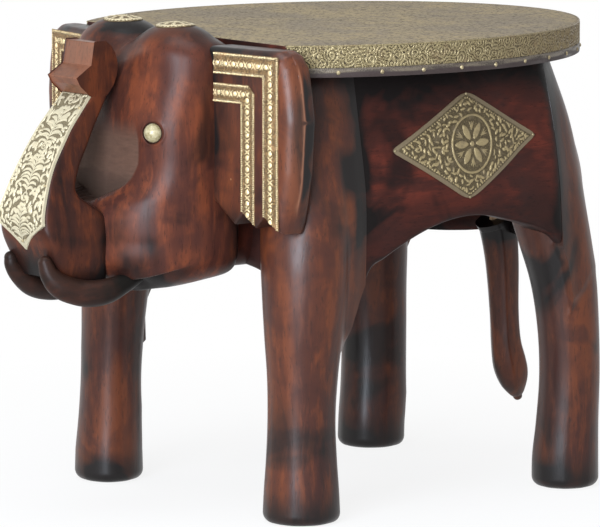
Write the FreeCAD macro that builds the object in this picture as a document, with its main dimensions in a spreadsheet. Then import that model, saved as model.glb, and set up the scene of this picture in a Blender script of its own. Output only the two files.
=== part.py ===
import FreeCAD, Part
import math
import os

# Carved elephant stool: an oval brass covered seat on a body of four leg posts and
# four panels, with a carved head, ears, trunk, tusks and tail.
# The elephant looks along -Y, its left side is +X, and Z is up from the floor.
# Every shape is drawn about the middle of the four feet, and each finished piece is
# then placed stance_back behind the origin.

V = FreeCAD.Vector
doc = FreeCAD.newDocument("elephant_stool")
UP, LEFT, BACK = V(0, 0, 1), V(1, 0, 0), V(0, 1, 0)

# Driving dimensions in millimetres
sheet = doc.addObject("Spreadsheet::Sheet", "Sizes")
DRIVING_SIZES = [
    ("seat_height", 380), ("seat_length", 438.6), ("seat_width", 361.8), ("stance_back", 53.14),
    ("board_thickness", 25), ("brass_thickness", 0.8), ("trim_thickness", 1.0), ("trim_height", 7.4),
    ("tack_head_radius", 1.7), ("tack_head_height", 1.0), ("tack_shank_radius", 0.6),
    ("tack_length", 9), ("tack_spacing", 36),
    ("screw_head_radius", 4.5), ("screw_shank_radius", 2.2), ("screw_length", 50), ("screw_head_depth", 4),
    ("front_foot_radius", 31.3), ("hind_foot_radius", 27.5), ("foot_rounding", 5),
    ("panel_thickness", 32), ("dowel_radius", 5), ("dowel_length", 36), ("dowel_slack", 1),
    ("screw_to_dowel", 5.4),
    ("pin_head_radius", 1.3), ("pin_head_height", 0.7), ("pin_shank_radius", 0.5), ("pin_length", 6),
    ("pin_inset", 5), ("skin_gap", 0.15), ("fit_gap", 0.3), ("small_overrun", 2),
    ("neck_rounding", 12), ("head_reach", 158), ("dome_rise", 27), ("cap_radius", 16), ("eye_radius", 7.6),
    ("tusk_radius", 12), ("ear_slant", 11.5), ("ear_thickness", 26), ("ear_back_gap", 10.5),
    ("outer_strip_width", 16), ("inner_strip_width", 14.5),
    ("tail_radius", 16.4), ("tail_sweep", 22),
]

# Dimensions that follow a driving one, each with its share of it
FOLLOWING_SIZE_SHARES = {
    "seat_height": [
        ("arch_spring_height", 0.39474), ("side_arch_height", 0.61974), ("end_arch_height", 0.51842),
        ("plate_height", 0.22895), ("plate_centre_height", 0.76579), ("neck_bottom_height", 0.51316),
        ("dome_base_height", 0.96579), ("eye_height", 0.81447),
        ("trunk_strip_top_height", 0.88947), ("trunk_strip_shoulder_height", 0.62895),
        ("trunk_strip_point_height", 0.57632),
        ("ear_point_height", 0.62368), ("ear_notch_height", 0.65263), ("ear_root_bottom_height", 0.68158),
        ("outer_strip_top", 0.98158), ("inner_strip_top", 0.91842),
        ("tail_top_height", 0.53684), ("tail_bottom_height", 0.13158)],
    "seat_width": [
        ("feet_half_width", 0.35655), ("body_half_width", 0.45053), ("front_joint_half_width", 0.24323),
        ("hind_joint_half_width", 0.24876), ("end_arch_half_width", 0.28192),
        ("neck_half_width", 0.18242), ("head_half_width", 0.22664), ("dome_half_spacing", 0.0995),
        ("dome_radius_wide", 0.09397), ("eye_half_spacing", 0.16031), ("trunk_half_width", 0.09674),
        ("tusk_half_spacing", 0.11609), ("ear_reach", 0.46434), ("strip_root", 0.22664),
        ("outer_strip_edge", 0.42012), ("inner_strip_edge", 0.34826)],
    "seat_length": [
        ("seat_centre_ahead", 0.01733), ("feet_half_length", 0.31236), ("body_centre_behind", 0.0228),
        ("rump_reach", 0.45144), ("chest_reach", 0.342), ("front_joint_ahead", 0.2052),
        ("hind_joint_behind", 0.24624), ("side_arch_front", 0.23712), ("side_arch_behind", 0.2508),
        ("plate_length", 0.342), ("plate_centre_behind", 0.02508), ("head_back_ahead", 0.35568),
        ("tail_behind", 0.38532)],
    "head_reach": [("dome_from_back", 0.20253), ("dome_radius_long", 0.17722), ("eye_from_back", 0.46203)],
    "ear_thickness": [("ear_edge_rounding", 0.42308)],
}
cells = [(name, str(value)) for name, value in DRIVING_SIZES]
for leader, followers in FOLLOWING_SIZE_SHARES.items():
    cells += [(name, f"={leader} * {share}") for name, share in followers]
for row, (name, content) in enumerate(cells, start=1):
    sheet.set(f"A{row}", name)
    sheet.set(f"B{row}", content)
    sheet.setAlias(f"B{row}", name)
doc.recompute()


def size(name):
    """Value of one dimension."""
    return float(getattr(sheet, name))


UNDERSIDE = size("seat_height") - size("brass_thickness") - size("board_thickness")
pieces = []


def keep(obj, label):
    """Name a finished piece and stand it behind the origin."""
    obj.Label = label
    obj.Placement = FreeCAD.Placement()
    obj.setExpression("Placement.Base.y", "Sizes.stance_back")
    pieces.append(obj)
    return obj


def solid(name, shape):
    """A document object that holds a carved shape."""
    obj = doc.addObject("Part::Feature", name)
    obj.Shape = shape
    return obj


def two_object(kind, name, base, tool):
    """A Part::Cut, Part::Common or Part::Fuse of two document objects."""
    obj = doc.addObject(kind, name)
    obj.Base = base
    obj.Tool = tool
    return obj


def curve(points):
    """Smooth open edge through points."""
    spline = Part.BSplineCurve()
    spline.interpolate(points)
    return spline.toShape()


def marked_curve(points, marks, closed=False):
    """Smooth edge that passes each point at a given mark, so that lofted sections match."""
    spline = Part.BSplineCurve()
    spline.interpolate(Points=points, Parameters=marks, PeriodicFlag=closed)
    return spline.toShape()


def polygon(points):
    """Closed straight sided wire."""
    return Part.makePolygon(list(points) + [points[0]])


def prism(wire, direction):
    """Solid from a closed flat wire carried along a direction."""
    return Part.Face(wire).extrude(direction)


def mirrored(shape):
    """The same shape on the other side of the stool's middle plane."""
    return shape.mirror(V(0, 0, 0), LEFT)


def box(low, high):
    """Box between two corners."""
    span = high - low
    return Part.makeBox(span.x, span.y, span.z, low)


FAR = size("seat_length") + size("seat_width")


def half_space(corner, low_signs):
    """Large box on one side of a corner: +1 keeps larger values of X or Y, -1 smaller, 0 both."""
    low = V(-FAR if low_signs[0] <= 0 else corner.x, -FAR if low_signs[1] <= 0 else corner.y, -FAR)
    high = V(FAR if low_signs[0] >= 0 else corner.x, FAR if low_signs[1] >= 0 else corner.y, FAR)
    return box(low, high)


# Seat: ovals extruded upwards and sawn straight at the front, behind the head

def oval_block(name, growth, bottom, height):
    """Oval slab, grown outwards by growth, from the height expression bottom."""
    oval = doc.addObject("Part::Ellipse", name + "_oval")
    oval.setExpression("MajorRadius", f"Sizes.seat_length / 2 - {growth}")
    oval.setExpression("MinorRadius", f"Sizes.seat_width / 2 - {growth}")
    oval.Placement.Rotation = FreeCAD.Rotation(UP, 90)
    oval.setExpression("Placement.Base.y", "-Sizes.seat_centre_ahead")
    oval.setExpression("Placement.Base.z", bottom)
    slab = doc.addObject("Part::Extrusion", name + "_slab")
    slab.Base = oval
    slab.Dir = UP
    slab.setExpression("LengthFwd", height)
    slab.Solid = True
    return slab


def behind_head(name, slab):
    """Keep what lies behind the sawn front edge of the seat."""
    saw = doc.addObject("Part::Box", name + "_saw")
    saw.setExpression("Length", "Sizes.seat_width * 2")
    saw.setExpression("Width", "Sizes.seat_length * 2")
    saw.setExpression("Height", "Sizes.seat_height * 2")
    saw.setExpression("Placement.Base.x", "-Sizes.seat_width")
    saw.setExpression("Placement.Base.y", "Sizes.fit_gap - Sizes.head_back_ahead")
    return two_object("Part::Common", name, slab, saw)


EDGE = "(Sizes.brass_thickness + Sizes.trim_thickness)"
BOARD_BOTTOM = "Sizes.seat_height - Sizes.brass_thickness - Sizes.board_thickness"
board_blank = behind_head("board_blank", oval_block("board", EDGE, BOARD_BOTTOM, "Sizes.board_thickness"))
seat_sheet = behind_head("seat_sheet", oval_block(
    "top", EDGE, "Sizes.seat_height - Sizes.brass_thickness", "Sizes.brass_thickness"))
band_outer = oval_block("band_outer", "Sizes.trim_thickness", BOARD_BOTTOM,
                        "Sizes.board_thickness + Sizes.brass_thickness")
band_inner = oval_block("band_inner", EDGE, BOARD_BOTTOM, "Sizes.board_thickness + Sizes.brass_thickness")
band_ring = two_object("Part::Cut", "band_ring", band_outer, band_inner)
band_blank = behind_head("band_blank", band_ring)
trim_outer = oval_block("trim_outer", "0", BOARD_BOTTOM, "Sizes.trim_height")
trim_inner = oval_block("trim_inner", "Sizes.trim_thickness", BOARD_BOTTOM, "Sizes.trim_height")
trim_blank = behind_head("trim_blank", two_object("Part::Cut", "trim_ring", trim_outer, trim_inner))
doc.recompute()


def headed_pin(head_radius, head_height, shank_radius, length):
    """Pin along -X from a domed head whose flat underside is at x = 0."""
    dome_radius = (head_radius ** 2 + head_height ** 2) / (2 * head_height)
    ball = Part.makeSphere(dome_radius, V(head_height - dome_radius, 0, 0))
    head = ball.common(Part.makeBox(head_radius, 2 * head_radius, 2 * head_radius,
                                    V(0, -head_radius, -head_radius)))
    return head.fuse(Part.makeCylinder(shank_radius, length, V(0, 0, 0), -LEFT)).removeSplitter()


def turned_to(shape, where, outward):
    """Move a pin that points along X to a place, its head towards outward."""
    turned = shape.copy()
    turned.Placement = FreeCAD.Placement(where, FreeCAD.Rotation(LEFT, outward))
    return turned


def drill(where, outward, radius, depth):
    """Hole for a shank, from just outside a surface point inwards."""
    overrun = size("small_overrun")
    return Part.makeCylinder(radius, depth + overrun, where + outward * overrun, outward * -1)


def oval_places(spacing):
    """Points and outward directions at even steps along the oval edge behind the head."""
    long_half, wide_half = size("seat_length") / 2, size("seat_width") / 2
    centre = -size("seat_centre_ahead")
    oval = Part.Ellipse(V(0, 0, 0), long_half, wide_half).toShape()
    oval.Placement = FreeCAD.Placement(V(0, centre, 0), FreeCAD.Rotation(UP, 90))
    count = round(oval.Length / spacing)
    places = []
    for point in oval.discretize(count + 1)[:-1]:
        outward = V(point.x / wide_half ** 2, (point.y - centre) / long_half ** 2, 0)
        outward.normalize()
        if point.y > -size("head_back_ahead") + size("trim_height"):
            places.append((point, outward))
    return places


tack = headed_pin(size("tack_head_radius"), size("tack_head_height"), size("tack_shank_radius"),
                  size("tack_length"))
tack_line = V(0, 0, UNDERSIDE + size("trim_height") / 2)
tack_places = [(point + tack_line, outward) for point, outward in oval_places(size("tack_spacing"))]
tacks = Part.makeCompound([turned_to(tack, point, outward) for point, outward in tack_places])
tack_holes = Part.makeCompound([drill(point, outward, size("tack_shank_radius"), size("tack_length"))
                                for point, outward in tack_places])
keep(solid("tacks", tacks), "seat_edge_tacks")

# Seat screws: countersunk, from the top of the board down into the four leg posts
POST_TOP_SHARES = {"front": (0.775, 0.774), "hind": (0.744, 0.752)}
board_top = size("seat_height") - size("brass_thickness")


def screw_places():
    """Top centre of each seat screw, over the heads of the leg posts."""
    wide, long = size("feet_half_width"), size("feet_half_length")
    front, hind = POST_TOP_SHARES["front"], POST_TOP_SHARES["hind"]
    return [V(side * wide * share[0], way * long * share[1], board_top)
            for side in (-1, 1) for way, share in ((-1, front), (1, hind))]


def seat_screw(top):
    """One countersunk wood screw, head level with the top of the board."""
    head = Part.makeCone(size("screw_head_radius"), size("screw_shank_radius"), size("screw_head_depth"),
                         top, -UP)
    shank = Part.makeCylinder(size("screw_shank_radius"), size("screw_length"), top, -UP)
    return head.fuse(shank).removeSplitter()


screws = Part.makeCompound([seat_screw(top) for top in screw_places()])
keep(solid("screws", screws), "seat_screws")
keep(two_object("Part::Cut", "board_cut", board_blank,
                solid("board_holes", Part.makeCompound([tack_holes, screws]))), "seat_board")
keep(seat_sheet, "seat_sheet")
keep(two_object("Part::Cut", "band_cut", band_blank, solid("band_holes", tack_holes)), "seat_edge_band")
keep(two_object("Part::Cut", "trim_cut", trim_blank, solid("trim_holes", tack_holes)), "seat_edge_trim")

# Body: a barrel whose plan is a flattened round, fuller towards the rump
# Each row: height share, half width share, rump share, rump roundness, chest share
BODY_SECTION_SHARES = [
    (0.40, 0.955, 0.775, 5.0, 1.0), (0.52, 1.0, 0.949, 3.2, 1.0), (0.62, 1.0, 1.0, 2.5, 1.0),
    (0.74, 0.985, 0.99, 2.35, 0.993), (0.847, 0.933, 0.929, 2.3, 0.973), (1.0, 0.853, 0.838, 2.3, 0.933)]
CHEST_ROUNDNESS = 2.8
POINTS_A_QUARTER = 8


def body_section(row, growth):
    """Closed plan outline of the barrel: a rounded oval, |x/a|^n + |y/b|^n = 1 at each end."""
    height, wide, rump, rump_roundness, chest = row
    half_width = size("body_half_width") * wide + growth
    points = []
    for step in range(4 * POINTS_A_QUARTER):
        angle = math.pi / 2 * step / POINTS_A_QUARTER
        cosine, sine = math.cos(angle), math.sin(angle)
        if sine >= 0:
            reach, roundness = size("rump_reach") * rump + growth, rump_roundness
        else:
            reach, roundness = size("chest_reach") * chest + growth, CHEST_ROUNDNESS
        x = math.copysign(abs(cosine) ** (2 / roundness), cosine) * half_width
        y = math.copysign(abs(sine) ** (2 / roundness), sine) * reach
        points.append(V(x, y + size("body_centre_behind"), UNDERSIDE * height))
    marks = [float(mark) for mark in range(len(points) + 1)]
    return Part.Wire([marked_curve(points, marks, closed=True)])


def barrel(growth):
    """The solid round of the body, grown outwards by growth."""
    return Part.makeLoft([body_section(row, growth) for row in BODY_SECTION_SHARES], True)


barrel_outer = barrel(0)
barrel_wall = barrel_outer.cut(barrel(-size("panel_thickness")))

# Arches: each outline is (share of the half span, share of the rise from spring to crown).
# Their feet curve outwards, so that the wall runs out inside the leg posts.
SIDE_ARCH_SHARES = [(-1.16, -0.25), (-1.05, 0.15), (-0.94, 0.45), (-0.83, 0.63), (-0.5, 0.86), (0.05, 1),
                    (0.55, 0.86), (0.85, 0.68), (0.96, 0.52), (1.06, 0.25), (1.18, -0.25)]
END_ARCH_SHARES = [(-1.2, -0.3), (-1.08, 0.1), (-0.96, 0.48), (-0.82, 0.72), (-0.6, 0.88), (0, 1),
                   (0.6, 0.88), (0.82, 0.72), (0.96, 0.48), (1.08, 0.1), (1.2, -0.3)]


def arch(shares, low, high, crown, along, across):
    """Prism under an arch whose feet stand at low and high, extruded both ways along a direction."""
    middle, half = (low + high) / 2, (high - low) / 2
    rise = crown - size("arch_spring_height")
    points = [across * (middle + half * s) + UP * (size("arch_spring_height") + rise * t) for s, t in shares]
    outline = Part.Wire([curve(points), Part.makeLine(points[-1], points[0])])
    outline.translate(along * -FAR)
    return prism(outline, along * (2 * FAR))


side_arch = arch(SIDE_ARCH_SHARES, -size("side_arch_front"), size("side_arch_behind"),
                 size("side_arch_height"), LEFT, BACK)
end_arch = arch(END_ARCH_SHARES, -size("end_arch_half_width"), size("end_arch_half_width"),
                size("end_arch_height"), BACK, LEFT)
ring = barrel_wall.cut([side_arch, end_arch])

# Where the panels meet the posts
front_y, hind_y = -size("front_joint_ahead"), size("hind_joint_behind")
front_x, hind_x = size("front_joint_half_width"), size("hind_joint_half_width")

# Leg posts: lofts of circles up each leg, joined to the corner of the barrel
# Each row: height share, radius share, sideways share, lengthways share
FRONT_LEG_SHARES = [
    (0, 1, 1, 1), (0.068, 0.965, 1, 1), (0.141, 0.907, 1, 1), (0.226, 0.869, 1, 1),
    (0.325, 0.9, 1, 0.993), (0.423, 1, 0.996, 0.982), (0.522, 1.1, 0.988, 0.964),
    (0.607, 1.15, 0.973, 0.949), (0.74, 1.15, 0.915, 0.891), (0.847, 1.118, 0.853, 0.839),
    (1, 1.054, 0.775, 0.774)]
HIND_LEG_SHARES = [
    (0, 1, 1, 1), (0.068, 0.985, 1, 1), (0.141, 0.938, 1.006, 1.007), (0.268, 0.898, 1.016, 1.02),
    (0.395, 0.964, 1.01, 1.012), (0.48, 1.036, 0.995, 0.995), (0.565, 1.145, 0.969, 0.956),
    (0.649, 1.236, 0.934, 0.916), (0.74, 1.273, 0.884, 0.876), (0.847, 1.255, 0.822, 0.818),
    (1, 1.2, 0.744, 0.752)]


def leg_column(name, rows, radius, way):
    """Loft of circles for a left leg, from the floor to the underside of the seat."""
    rings = []
    for number, (height, swell, across, along) in enumerate(rows):
        ring_circle = doc.addObject("Part::Circle", f"{name}_ring_{number}")
        ring_circle.setExpression("Radius", f"Sizes.{radius} * {swell}")
        ring_circle.setExpression("Placement.Base.x", f"Sizes.feet_half_width * {across}")
        ring_circle.setExpression("Placement.Base.y", f"Sizes.feet_half_length * {way * along}")
        ring_circle.setExpression("Placement.Base.z", f"({BOARD_BOTTOM}) * {height}")
        rings.append(ring_circle)
    column = doc.addObject("Part::Loft", name + "_column")
    column.Sections = rings
    column.Solid = True
    return column


def rounded_foot(shape):
    """Round the edge where the leg meets the floor."""
    floor_edges = [edge for edge in shape.Edges
                   if abs(edge.BoundBox.ZMax) < size("fit_gap") and abs(edge.BoundBox.ZMin) < size("fit_gap")]
    return shape.makeFillet(size("foot_rounding"), floor_edges)


def biggest(shape):
    """The largest solid of a shape, without the slivers of a cut."""
    return max(shape.Solids, key=lambda one: one.Volume)


front_column = leg_column("front_leg", FRONT_LEG_SHARES, "front_foot_radius", -1)
hind_column = leg_column("hind_leg", HIND_LEG_SHARES, "hind_foot_radius", 1)
doc.recompute()


def leg_post(column, joint, way):
    """Left leg post: its column joined to its corner of the barrel."""
    corner = ring.common(half_space(joint, (1, way)))
    return rounded_foot(biggest(column.Shape.fuse(corner)))


front_leg = leg_post(front_column, V(front_x, front_y, 0), -1)
hind_leg = leg_post(hind_column, V(hind_x, hind_y, 0), 1)
LEGS = {"leg_front_left": front_leg, "leg_front_right": mirrored(front_leg),
        "leg_hind_left": hind_leg, "leg_hind_right": mirrored(hind_leg)}
front_columns = [front_column.Shape, mirrored(front_column.Shape)]
hind_columns = [hind_column.Shape, mirrored(hind_column.Shape)]


def panel(low, high, columns):
    """The part of the ring in a box, cut where the round leg columns swell into it."""
    return biggest(ring.common(box(low, high)).cut(columns))


side_panel = panel(V(0, front_y, 0), V(FAR, hind_y, FAR), [front_columns[0], hind_columns[0]])
chest_panel = panel(V(-front_x, -FAR, 0), V(front_x, front_y, FAR), front_columns)
rump_panel = panel(V(-hind_x, hind_y, 0), V(hind_x, FAR, FAR), hind_columns)

# Dowels across the panel joints, two in each joint, midway in the wall. The upper ones lie
# clear below the points of the seat screws.
LOWER_DOWEL_SHARE = 0.68
upper_dowel_height = board_top - size("screw_length") - size("screw_to_dowel") - size("dowel_radius")
dowel_heights = (UNDERSIDE * LOWER_DOWEL_SHARE, upper_dowel_height)


def wall_middle(plane_point, plane_normal, height):
    """Centre of the wall where a level line in a joint plane crosses one side of the ring."""
    line_way = plane_normal.cross(UP)
    start = plane_point + UP * height
    line = Part.makeLine(start, start + line_way * FAR)
    inside = barrel_wall.common(line)
    return inside.BoundBox.Center


def joint_dowels():
    """Dowel cylinders and the slightly deeper holes that hold them."""
    half = size("dowel_length") / 2
    deep = half + size("dowel_slack")
    crossings = []
    for height in dowel_heights:
        for side in (-1, 1):
            for y in (front_y, hind_y):
                crossings.append((wall_middle(V(0, y, 0), BACK * side, height), BACK))
            crossings.append((wall_middle(V(side * front_x, 0, 0), LEFT * -1, height), LEFT))
            crossings.append((wall_middle(V(side * hind_x, 0, 0), LEFT, height), LEFT))
    dowels = [Part.makeCylinder(size("dowel_radius"), 2 * half, centre - way * half, way)
              for centre, way in crossings]
    holes = [Part.makeCylinder(size("dowel_radius"), 2 * deep, centre - way * deep, way)
             for centre, way in crossings]
    return Part.makeCompound(dowels), Part.makeCompound(holes)


dowels, dowel_holes = joint_dowels()
keep(solid("dowels", dowels), "panel_dowels")

# Side plates: lozenges bent round the barrel, and the pins at their corners
plate_round = barrel(size("skin_gap") + size("brass_thickness"))
plate_shell = plate_round.cut(barrel(size("skin_gap")))


def lozenge(length, height):
    """Rhombus prism that runs out through the left side of the barrel."""
    y, z = size("plate_centre_behind"), size("plate_centre_height")
    corners = [V(0, y - length / 2, z), V(0, y, z - height / 2), V(0, y + length / 2, z),
               V(0, y, z + height / 2)]
    return prism(polygon(corners), LEFT * FAR)


side_plate_blank = plate_shell.common(lozenge(size("plate_length"), size("plate_height")))


def on_surface(shape, start, way):
    """First point and outward normal where a ray from outside meets a shape."""
    crossings = shape.common(Part.makeLine(start, start + way * (2 * FAR))).Vertexes
    point = min((vertex.Point for vertex in crossings), key=lambda one: (one - start).Length)
    face = min(shape.Faces, key=lambda candidate: candidate.distToShape(Part.Vertex(point))[0])
    u, v = face.Surface.parameter(point)
    return point, face.normalAt(u, v)


def plate_pin_places():
    """Pin places near the four corners of a lozenge, on its outer face."""
    y, z = size("plate_centre_behind"), size("plate_centre_height")
    reach_y = size("plate_length") / 2 - 2 * size("pin_inset")
    reach_z = size("plate_height") / 2 - size("pin_inset")
    spots = [(-reach_y, 0), (reach_y, 0), (0, -reach_z), (0, reach_z)]
    return [on_surface(plate_round, V(FAR, y + dy, z + dz), LEFT * -1) for dy, dz in spots]


pin = headed_pin(size("pin_head_radius"), size("pin_head_height"), size("pin_shank_radius"),
                 size("pin_length"))
pin_places = plate_pin_places()


def pins_and_holes(places):
    """Pins set at places, and the holes that hold their shanks."""
    pins = [turned_to(pin, point, normal) for point, normal in places]
    holes = [drill(point, normal, size("pin_shank_radius"), size("pin_length")) for point, normal in places]
    return pins, holes


plate_pins, plate_pin_holes = pins_and_holes(pin_places)
all_plate_pins = plate_pins + [mirrored(one) for one in plate_pins]
keep(solid("plate_pins", Part.makeCompound(all_plate_pins)), "side_plate_pins")
side_plate = side_plate_blank.cut(plate_pin_holes)
keep(solid("plate_left", side_plate), "side_plate_left")
keep(solid("plate_right", mirrored(side_plate)), "side_plate_right")

# Head: plan outlines lofted from the jaw to the crown, with two domes on top
# Each section: height share, (half width share, reach share) from the back, and the face's reach
HEAD_SECTION_SHARES = [
    (0.497, [(0.43, 0), (0.64, 0.03), (0.744, 0.139), (0.768, 0.272), (0.707, 0.405),
             (0.549, 0.5), (0.36, 0.544)], 0.551),
    (0.526, [(0.54, 0), (0.805, 0.025), (0.93, 0.139), (0.939, 0.278), (0.866, 0.418), (0.67, 0.551),
             (0.463, 0.646)], 0.671),
    (0.592, [(0.67, 0), (0.902, 0.025), (0.988, 0.127), (1, 0.253), (0.927, 0.392), (0.73, 0.551),
             (0.488, 0.665)], 0.69),
    (0.647, [(0.67, 0), (0.915, 0.025), (1, 0.127), (1, 0.253), (0.927, 0.392), (0.73, 0.551),
             (0.463, 0.658)], 0.677),
    (0.705, [(0.73, 0), (0.927, 0.025), (1, 0.127), (1, 0.253), (0.927, 0.367), (0.73, 0.494),
             (0.463, 0.551)], 0.557),
    (0.842, [(0.73, 0), (0.927, 0.025), (1, 0.127), (1, 0.247), (0.915, 0.354), (0.707, 0.468),
             (0.439, 0.519)], 0.519),
    (0.921, [(0.73, 0), (0.927, 0.025), (0.988, 0.127), (0.976, 0.241), (0.854, 0.348), (0.634, 0.443),
             (0.366, 0.475)], 0.449),
    (0.985, [(0.67, 0), (0.878, 0.025), (0.939, 0.127), (0.915, 0.228), (0.78, 0.316), (0.561, 0.386),
             (0.317, 0.392)], 0.329)]
WIDEST_SECTION = 3


def ahead(share):
    """Y of a share of the head's reach, in front of its back face."""
    return -size("head_back_ahead") - size("head_reach") * share


def head_points(height, side_shares, face_share):
    """Points round the head at one height, from the left of its back to the right."""
    z = size("seat_height") * height
    left = [V(size("head_half_width") * x, ahead(y), z) for x, y in side_shares]
    right = [V(-point.x, point.y, z) for point in left]
    return left + [V(0, ahead(face_share), z)] + right[::-1]


def lengths_along(points):
    """Distance from the first point to each point, along straight steps."""
    total, lengths = 0.0, [0.0]
    for before, after in zip(points, points[1:]):
        total += (after - before).Length
        lengths.append(total)
    return lengths


def head_section(row, marks):
    """Closed plan outline of the head: a flat back, and a smooth curve round the cheeks and face."""
    points = head_points(*row)
    back = Part.makeLine(points[-1], points[0])
    return Part.Wire([marked_curve(points, marks), back])


dome_y = -size("head_back_ahead") - size("dome_from_back")


def dome(side):
    """One of the two domes of the crown."""
    unit = Part.makeSphere(1)
    stretch = FreeCAD.Matrix()
    stretch.scale(size("dome_radius_wide"), size("dome_radius_long"), size("dome_rise"))
    shape = unit.transformGeometry(stretch)
    shape.translate(V(side * size("dome_half_spacing"), dome_y, size("dome_base_height")))
    return shape


head_marks = lengths_along(head_points(*HEAD_SECTION_SHARES[WIDEST_SECTION]))
head_core = Part.makeLoft([head_section(row, head_marks) for row in HEAD_SECTION_SHARES], True)
head_solid = head_core.fuse([dome(1), dome(-1)])

# Neck: a rounded block from the back of the head to the chest
neck_block = box(V(-size("neck_half_width"), -size("head_back_ahead"), size("neck_bottom_height")),
                 V(size("neck_half_width"), 0, UNDERSIDE))
neck_edges = [edge for edge in neck_block.Edges
              if edge.BoundBox.ZMax < UNDERSIDE - size("neck_rounding")
              and edge.BoundBox.YLength > size("neck_rounding")]
neck = neck_block.makeFillet(size("neck_rounding"), neck_edges).cut([barrel_outer] + front_columns)

# Trunk: four sided sections carried up the trunk, and the tip bent forward at the top
# Each row: front reach, front height, back reach, back height, front width, back width shares
TRUNK_SECTION_SHARES = [
    (0.911, 0.542, 0.64, 0.508, 0.857, 0.93), (0.981, 0.592, 0.63, 0.566, 0.93, 1.0),
    (1.0, 0.639, 0.64, 0.639, 0.857, 1.0), (0.968, 0.7, 0.778, 0.689, 0.771, 0.829),
    (0.918, 0.747, 0.757, 0.739, 0.686, 0.743), (0.848, 0.795, 0.703, 0.782, 0.643, 0.686),
    (0.785, 0.832, 0.646, 0.824, 0.6, 0.629), (0.665, 0.889, 0.544, 0.897, 0.557, 0.557)]
TRUNK_TIP_SHARES = [(0.544, 0.897), (0.509, 0.937), (0.525, 0.971), (0.576, 0.995), (0.639, 0.999),
                    (0.658, 0.95), (0.747, 0.926), (0.728, 0.912), (0.665, 0.889)]
TIP_WIDTH_SHARE = 0.557


def trunk_section(row):
    """Four sided section across the trunk."""
    front = V(0, ahead(row[0]), size("seat_height") * row[1])
    back = V(0, ahead(row[2]), size("seat_height") * row[3])
    wide_front, wide_back = size("trunk_half_width") * row[4], size("trunk_half_width") * row[5]
    return polygon([front + LEFT * wide_front, back + LEFT * wide_back,
                    back - LEFT * wide_back, front - LEFT * wide_front])


def skin_section(row):
    """Thin section of the brass that lies on the front of the trunk."""
    front = V(0, ahead(row[0]), size("seat_height") * row[1])
    back = V(0, ahead(row[2]), size("seat_height") * row[3])
    proud = (front - back).normalize() * size("brass_thickness")
    wide = LEFT * (size("trunk_half_width") * row[4] - size("fit_gap"))
    return polygon([front + wide, front + wide + proud, front - wide + proud, front - wide])


def trunk_tip():
    """The bent tip: its side outline carried across the trunk's width."""
    half = size("trunk_half_width") * TIP_WIDTH_SHARE
    points = [V(-half, ahead(y), size("seat_height") * z) for y, z in TRUNK_TIP_SHARES]
    return prism(polygon(points), LEFT * (2 * half))


trunk_core = Part.makeLoft([trunk_section(row) for row in TRUNK_SECTION_SHARES], True, True)
trunk_solid = trunk_core.fuse(trunk_tip()).cut(head_solid)

# Trunk strip: a brass skin on the front of the trunk, square at the top and pointed below
strip_skin = Part.makeLoft([skin_section(row) for row in TRUNK_SECTION_SHARES], True, True)


def trunk_strip_outline():
    """Front outline of the strip, carried through the trunk."""
    half, top = size("trunk_half_width"), size("trunk_strip_top_height")
    shoulder, point = size("trunk_strip_shoulder_height"), size("trunk_strip_point_height")
    corners = [V(-half, -FAR, top), V(half, -FAR, top), V(half, -FAR, shoulder), V(0, -FAR, point),
               V(-half, -FAR, shoulder)]
    return prism(polygon(corners), BACK * FAR)


trunk_strip = strip_skin.common(trunk_strip_outline())

# Tusks: lofts of circles along a rising curve, let into the jaw
# Each row: sideways share, reach share, height share, radius share
TUSK_SHARES = [(0.62, 0.981, 0.563, 0.52), (0.69, 0.968, 0.526, 0.72), (0.76, 0.911, 0.5, 0.88),
               (0.86, 0.797, 0.483, 1.0), (0.95, 0.671, 0.484, 1.0), (1.0, 0.57, 0.495, 0.83),
               (1.0, 0.481, 0.508, 0.67)]


def tusk():
    """Left tusk: round sections square to its curve, with a ball at the tip."""
    places = [V(size("tusk_half_spacing") * x, ahead(y), size("seat_height") * z)
              for x, y, z, swell in TUSK_SHARES]
    radii = [size("tusk_radius") * row[3] for row in TUSK_SHARES]
    rings = []
    for number, (place, radius) in enumerate(zip(places, radii)):
        before, after = places[max(number - 1, 0)], places[min(number + 1, len(places) - 1)]
        rings.append(Part.Wire([Part.makeCircle(radius, place, after - before)]))
    body = Part.makeLoft(rings, True)
    return body.fuse(Part.makeSphere(radii[0], places[0])).removeSplitter()


tusk_left = tusk().cut([head_solid, trunk_solid])

# Ears: a front outline cut through a board whose plan slants back to a rounded outer edge
# Each row: reach share of ear_reach, height share of seat_height
EAR_TOP_SHARES = [(0.45, 0.992), (0.88, 0.99)]
EAR_OUTER_SHARES = [(0.88, 0.99), (0.958, 0.961), (0.988, 0.908), (1.0, 0.842), (0.985, 0.739),
                    (0.955, 0.671), (0.935, 0.618)]
EAR_ROOT_SHARE = 0.45
EAR_POINT_SHARES = (0.757, 0.619)
EAR_NOTCH_SHARES = (0.81, 0.685)


def ear_outline():
    """Front outline of the left ear: smooth outer edge, and a zigzag below."""
    reach, tall = size("ear_reach"), size("seat_height")
    outer = [V(reach * x, -FAR, tall * z) for x, z in EAR_OUTER_SHARES]
    root_x = reach * EAR_ROOT_SHARE
    zigzag = [V(reach * EAR_NOTCH_SHARES[0], -FAR, size("ear_notch_height")),
              V(reach * EAR_POINT_SHARES[0], -FAR, size("ear_point_height")),
              V(reach * EAR_NOTCH_SHARES[1], -FAR, size("ear_notch_height")),
              V(reach * EAR_POINT_SHARES[1], -FAR, size("ear_point_height")),
              V(root_x, -FAR, size("ear_root_bottom_height")),
              V(root_x, -FAR, tall * EAR_TOP_SHARES[0][1])]
    corners = [outer[-1]] + zigzag + [outer[0]]
    return prism(Part.Wire([curve(outer), Part.makePolygon(corners)]), BACK * FAR)


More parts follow.
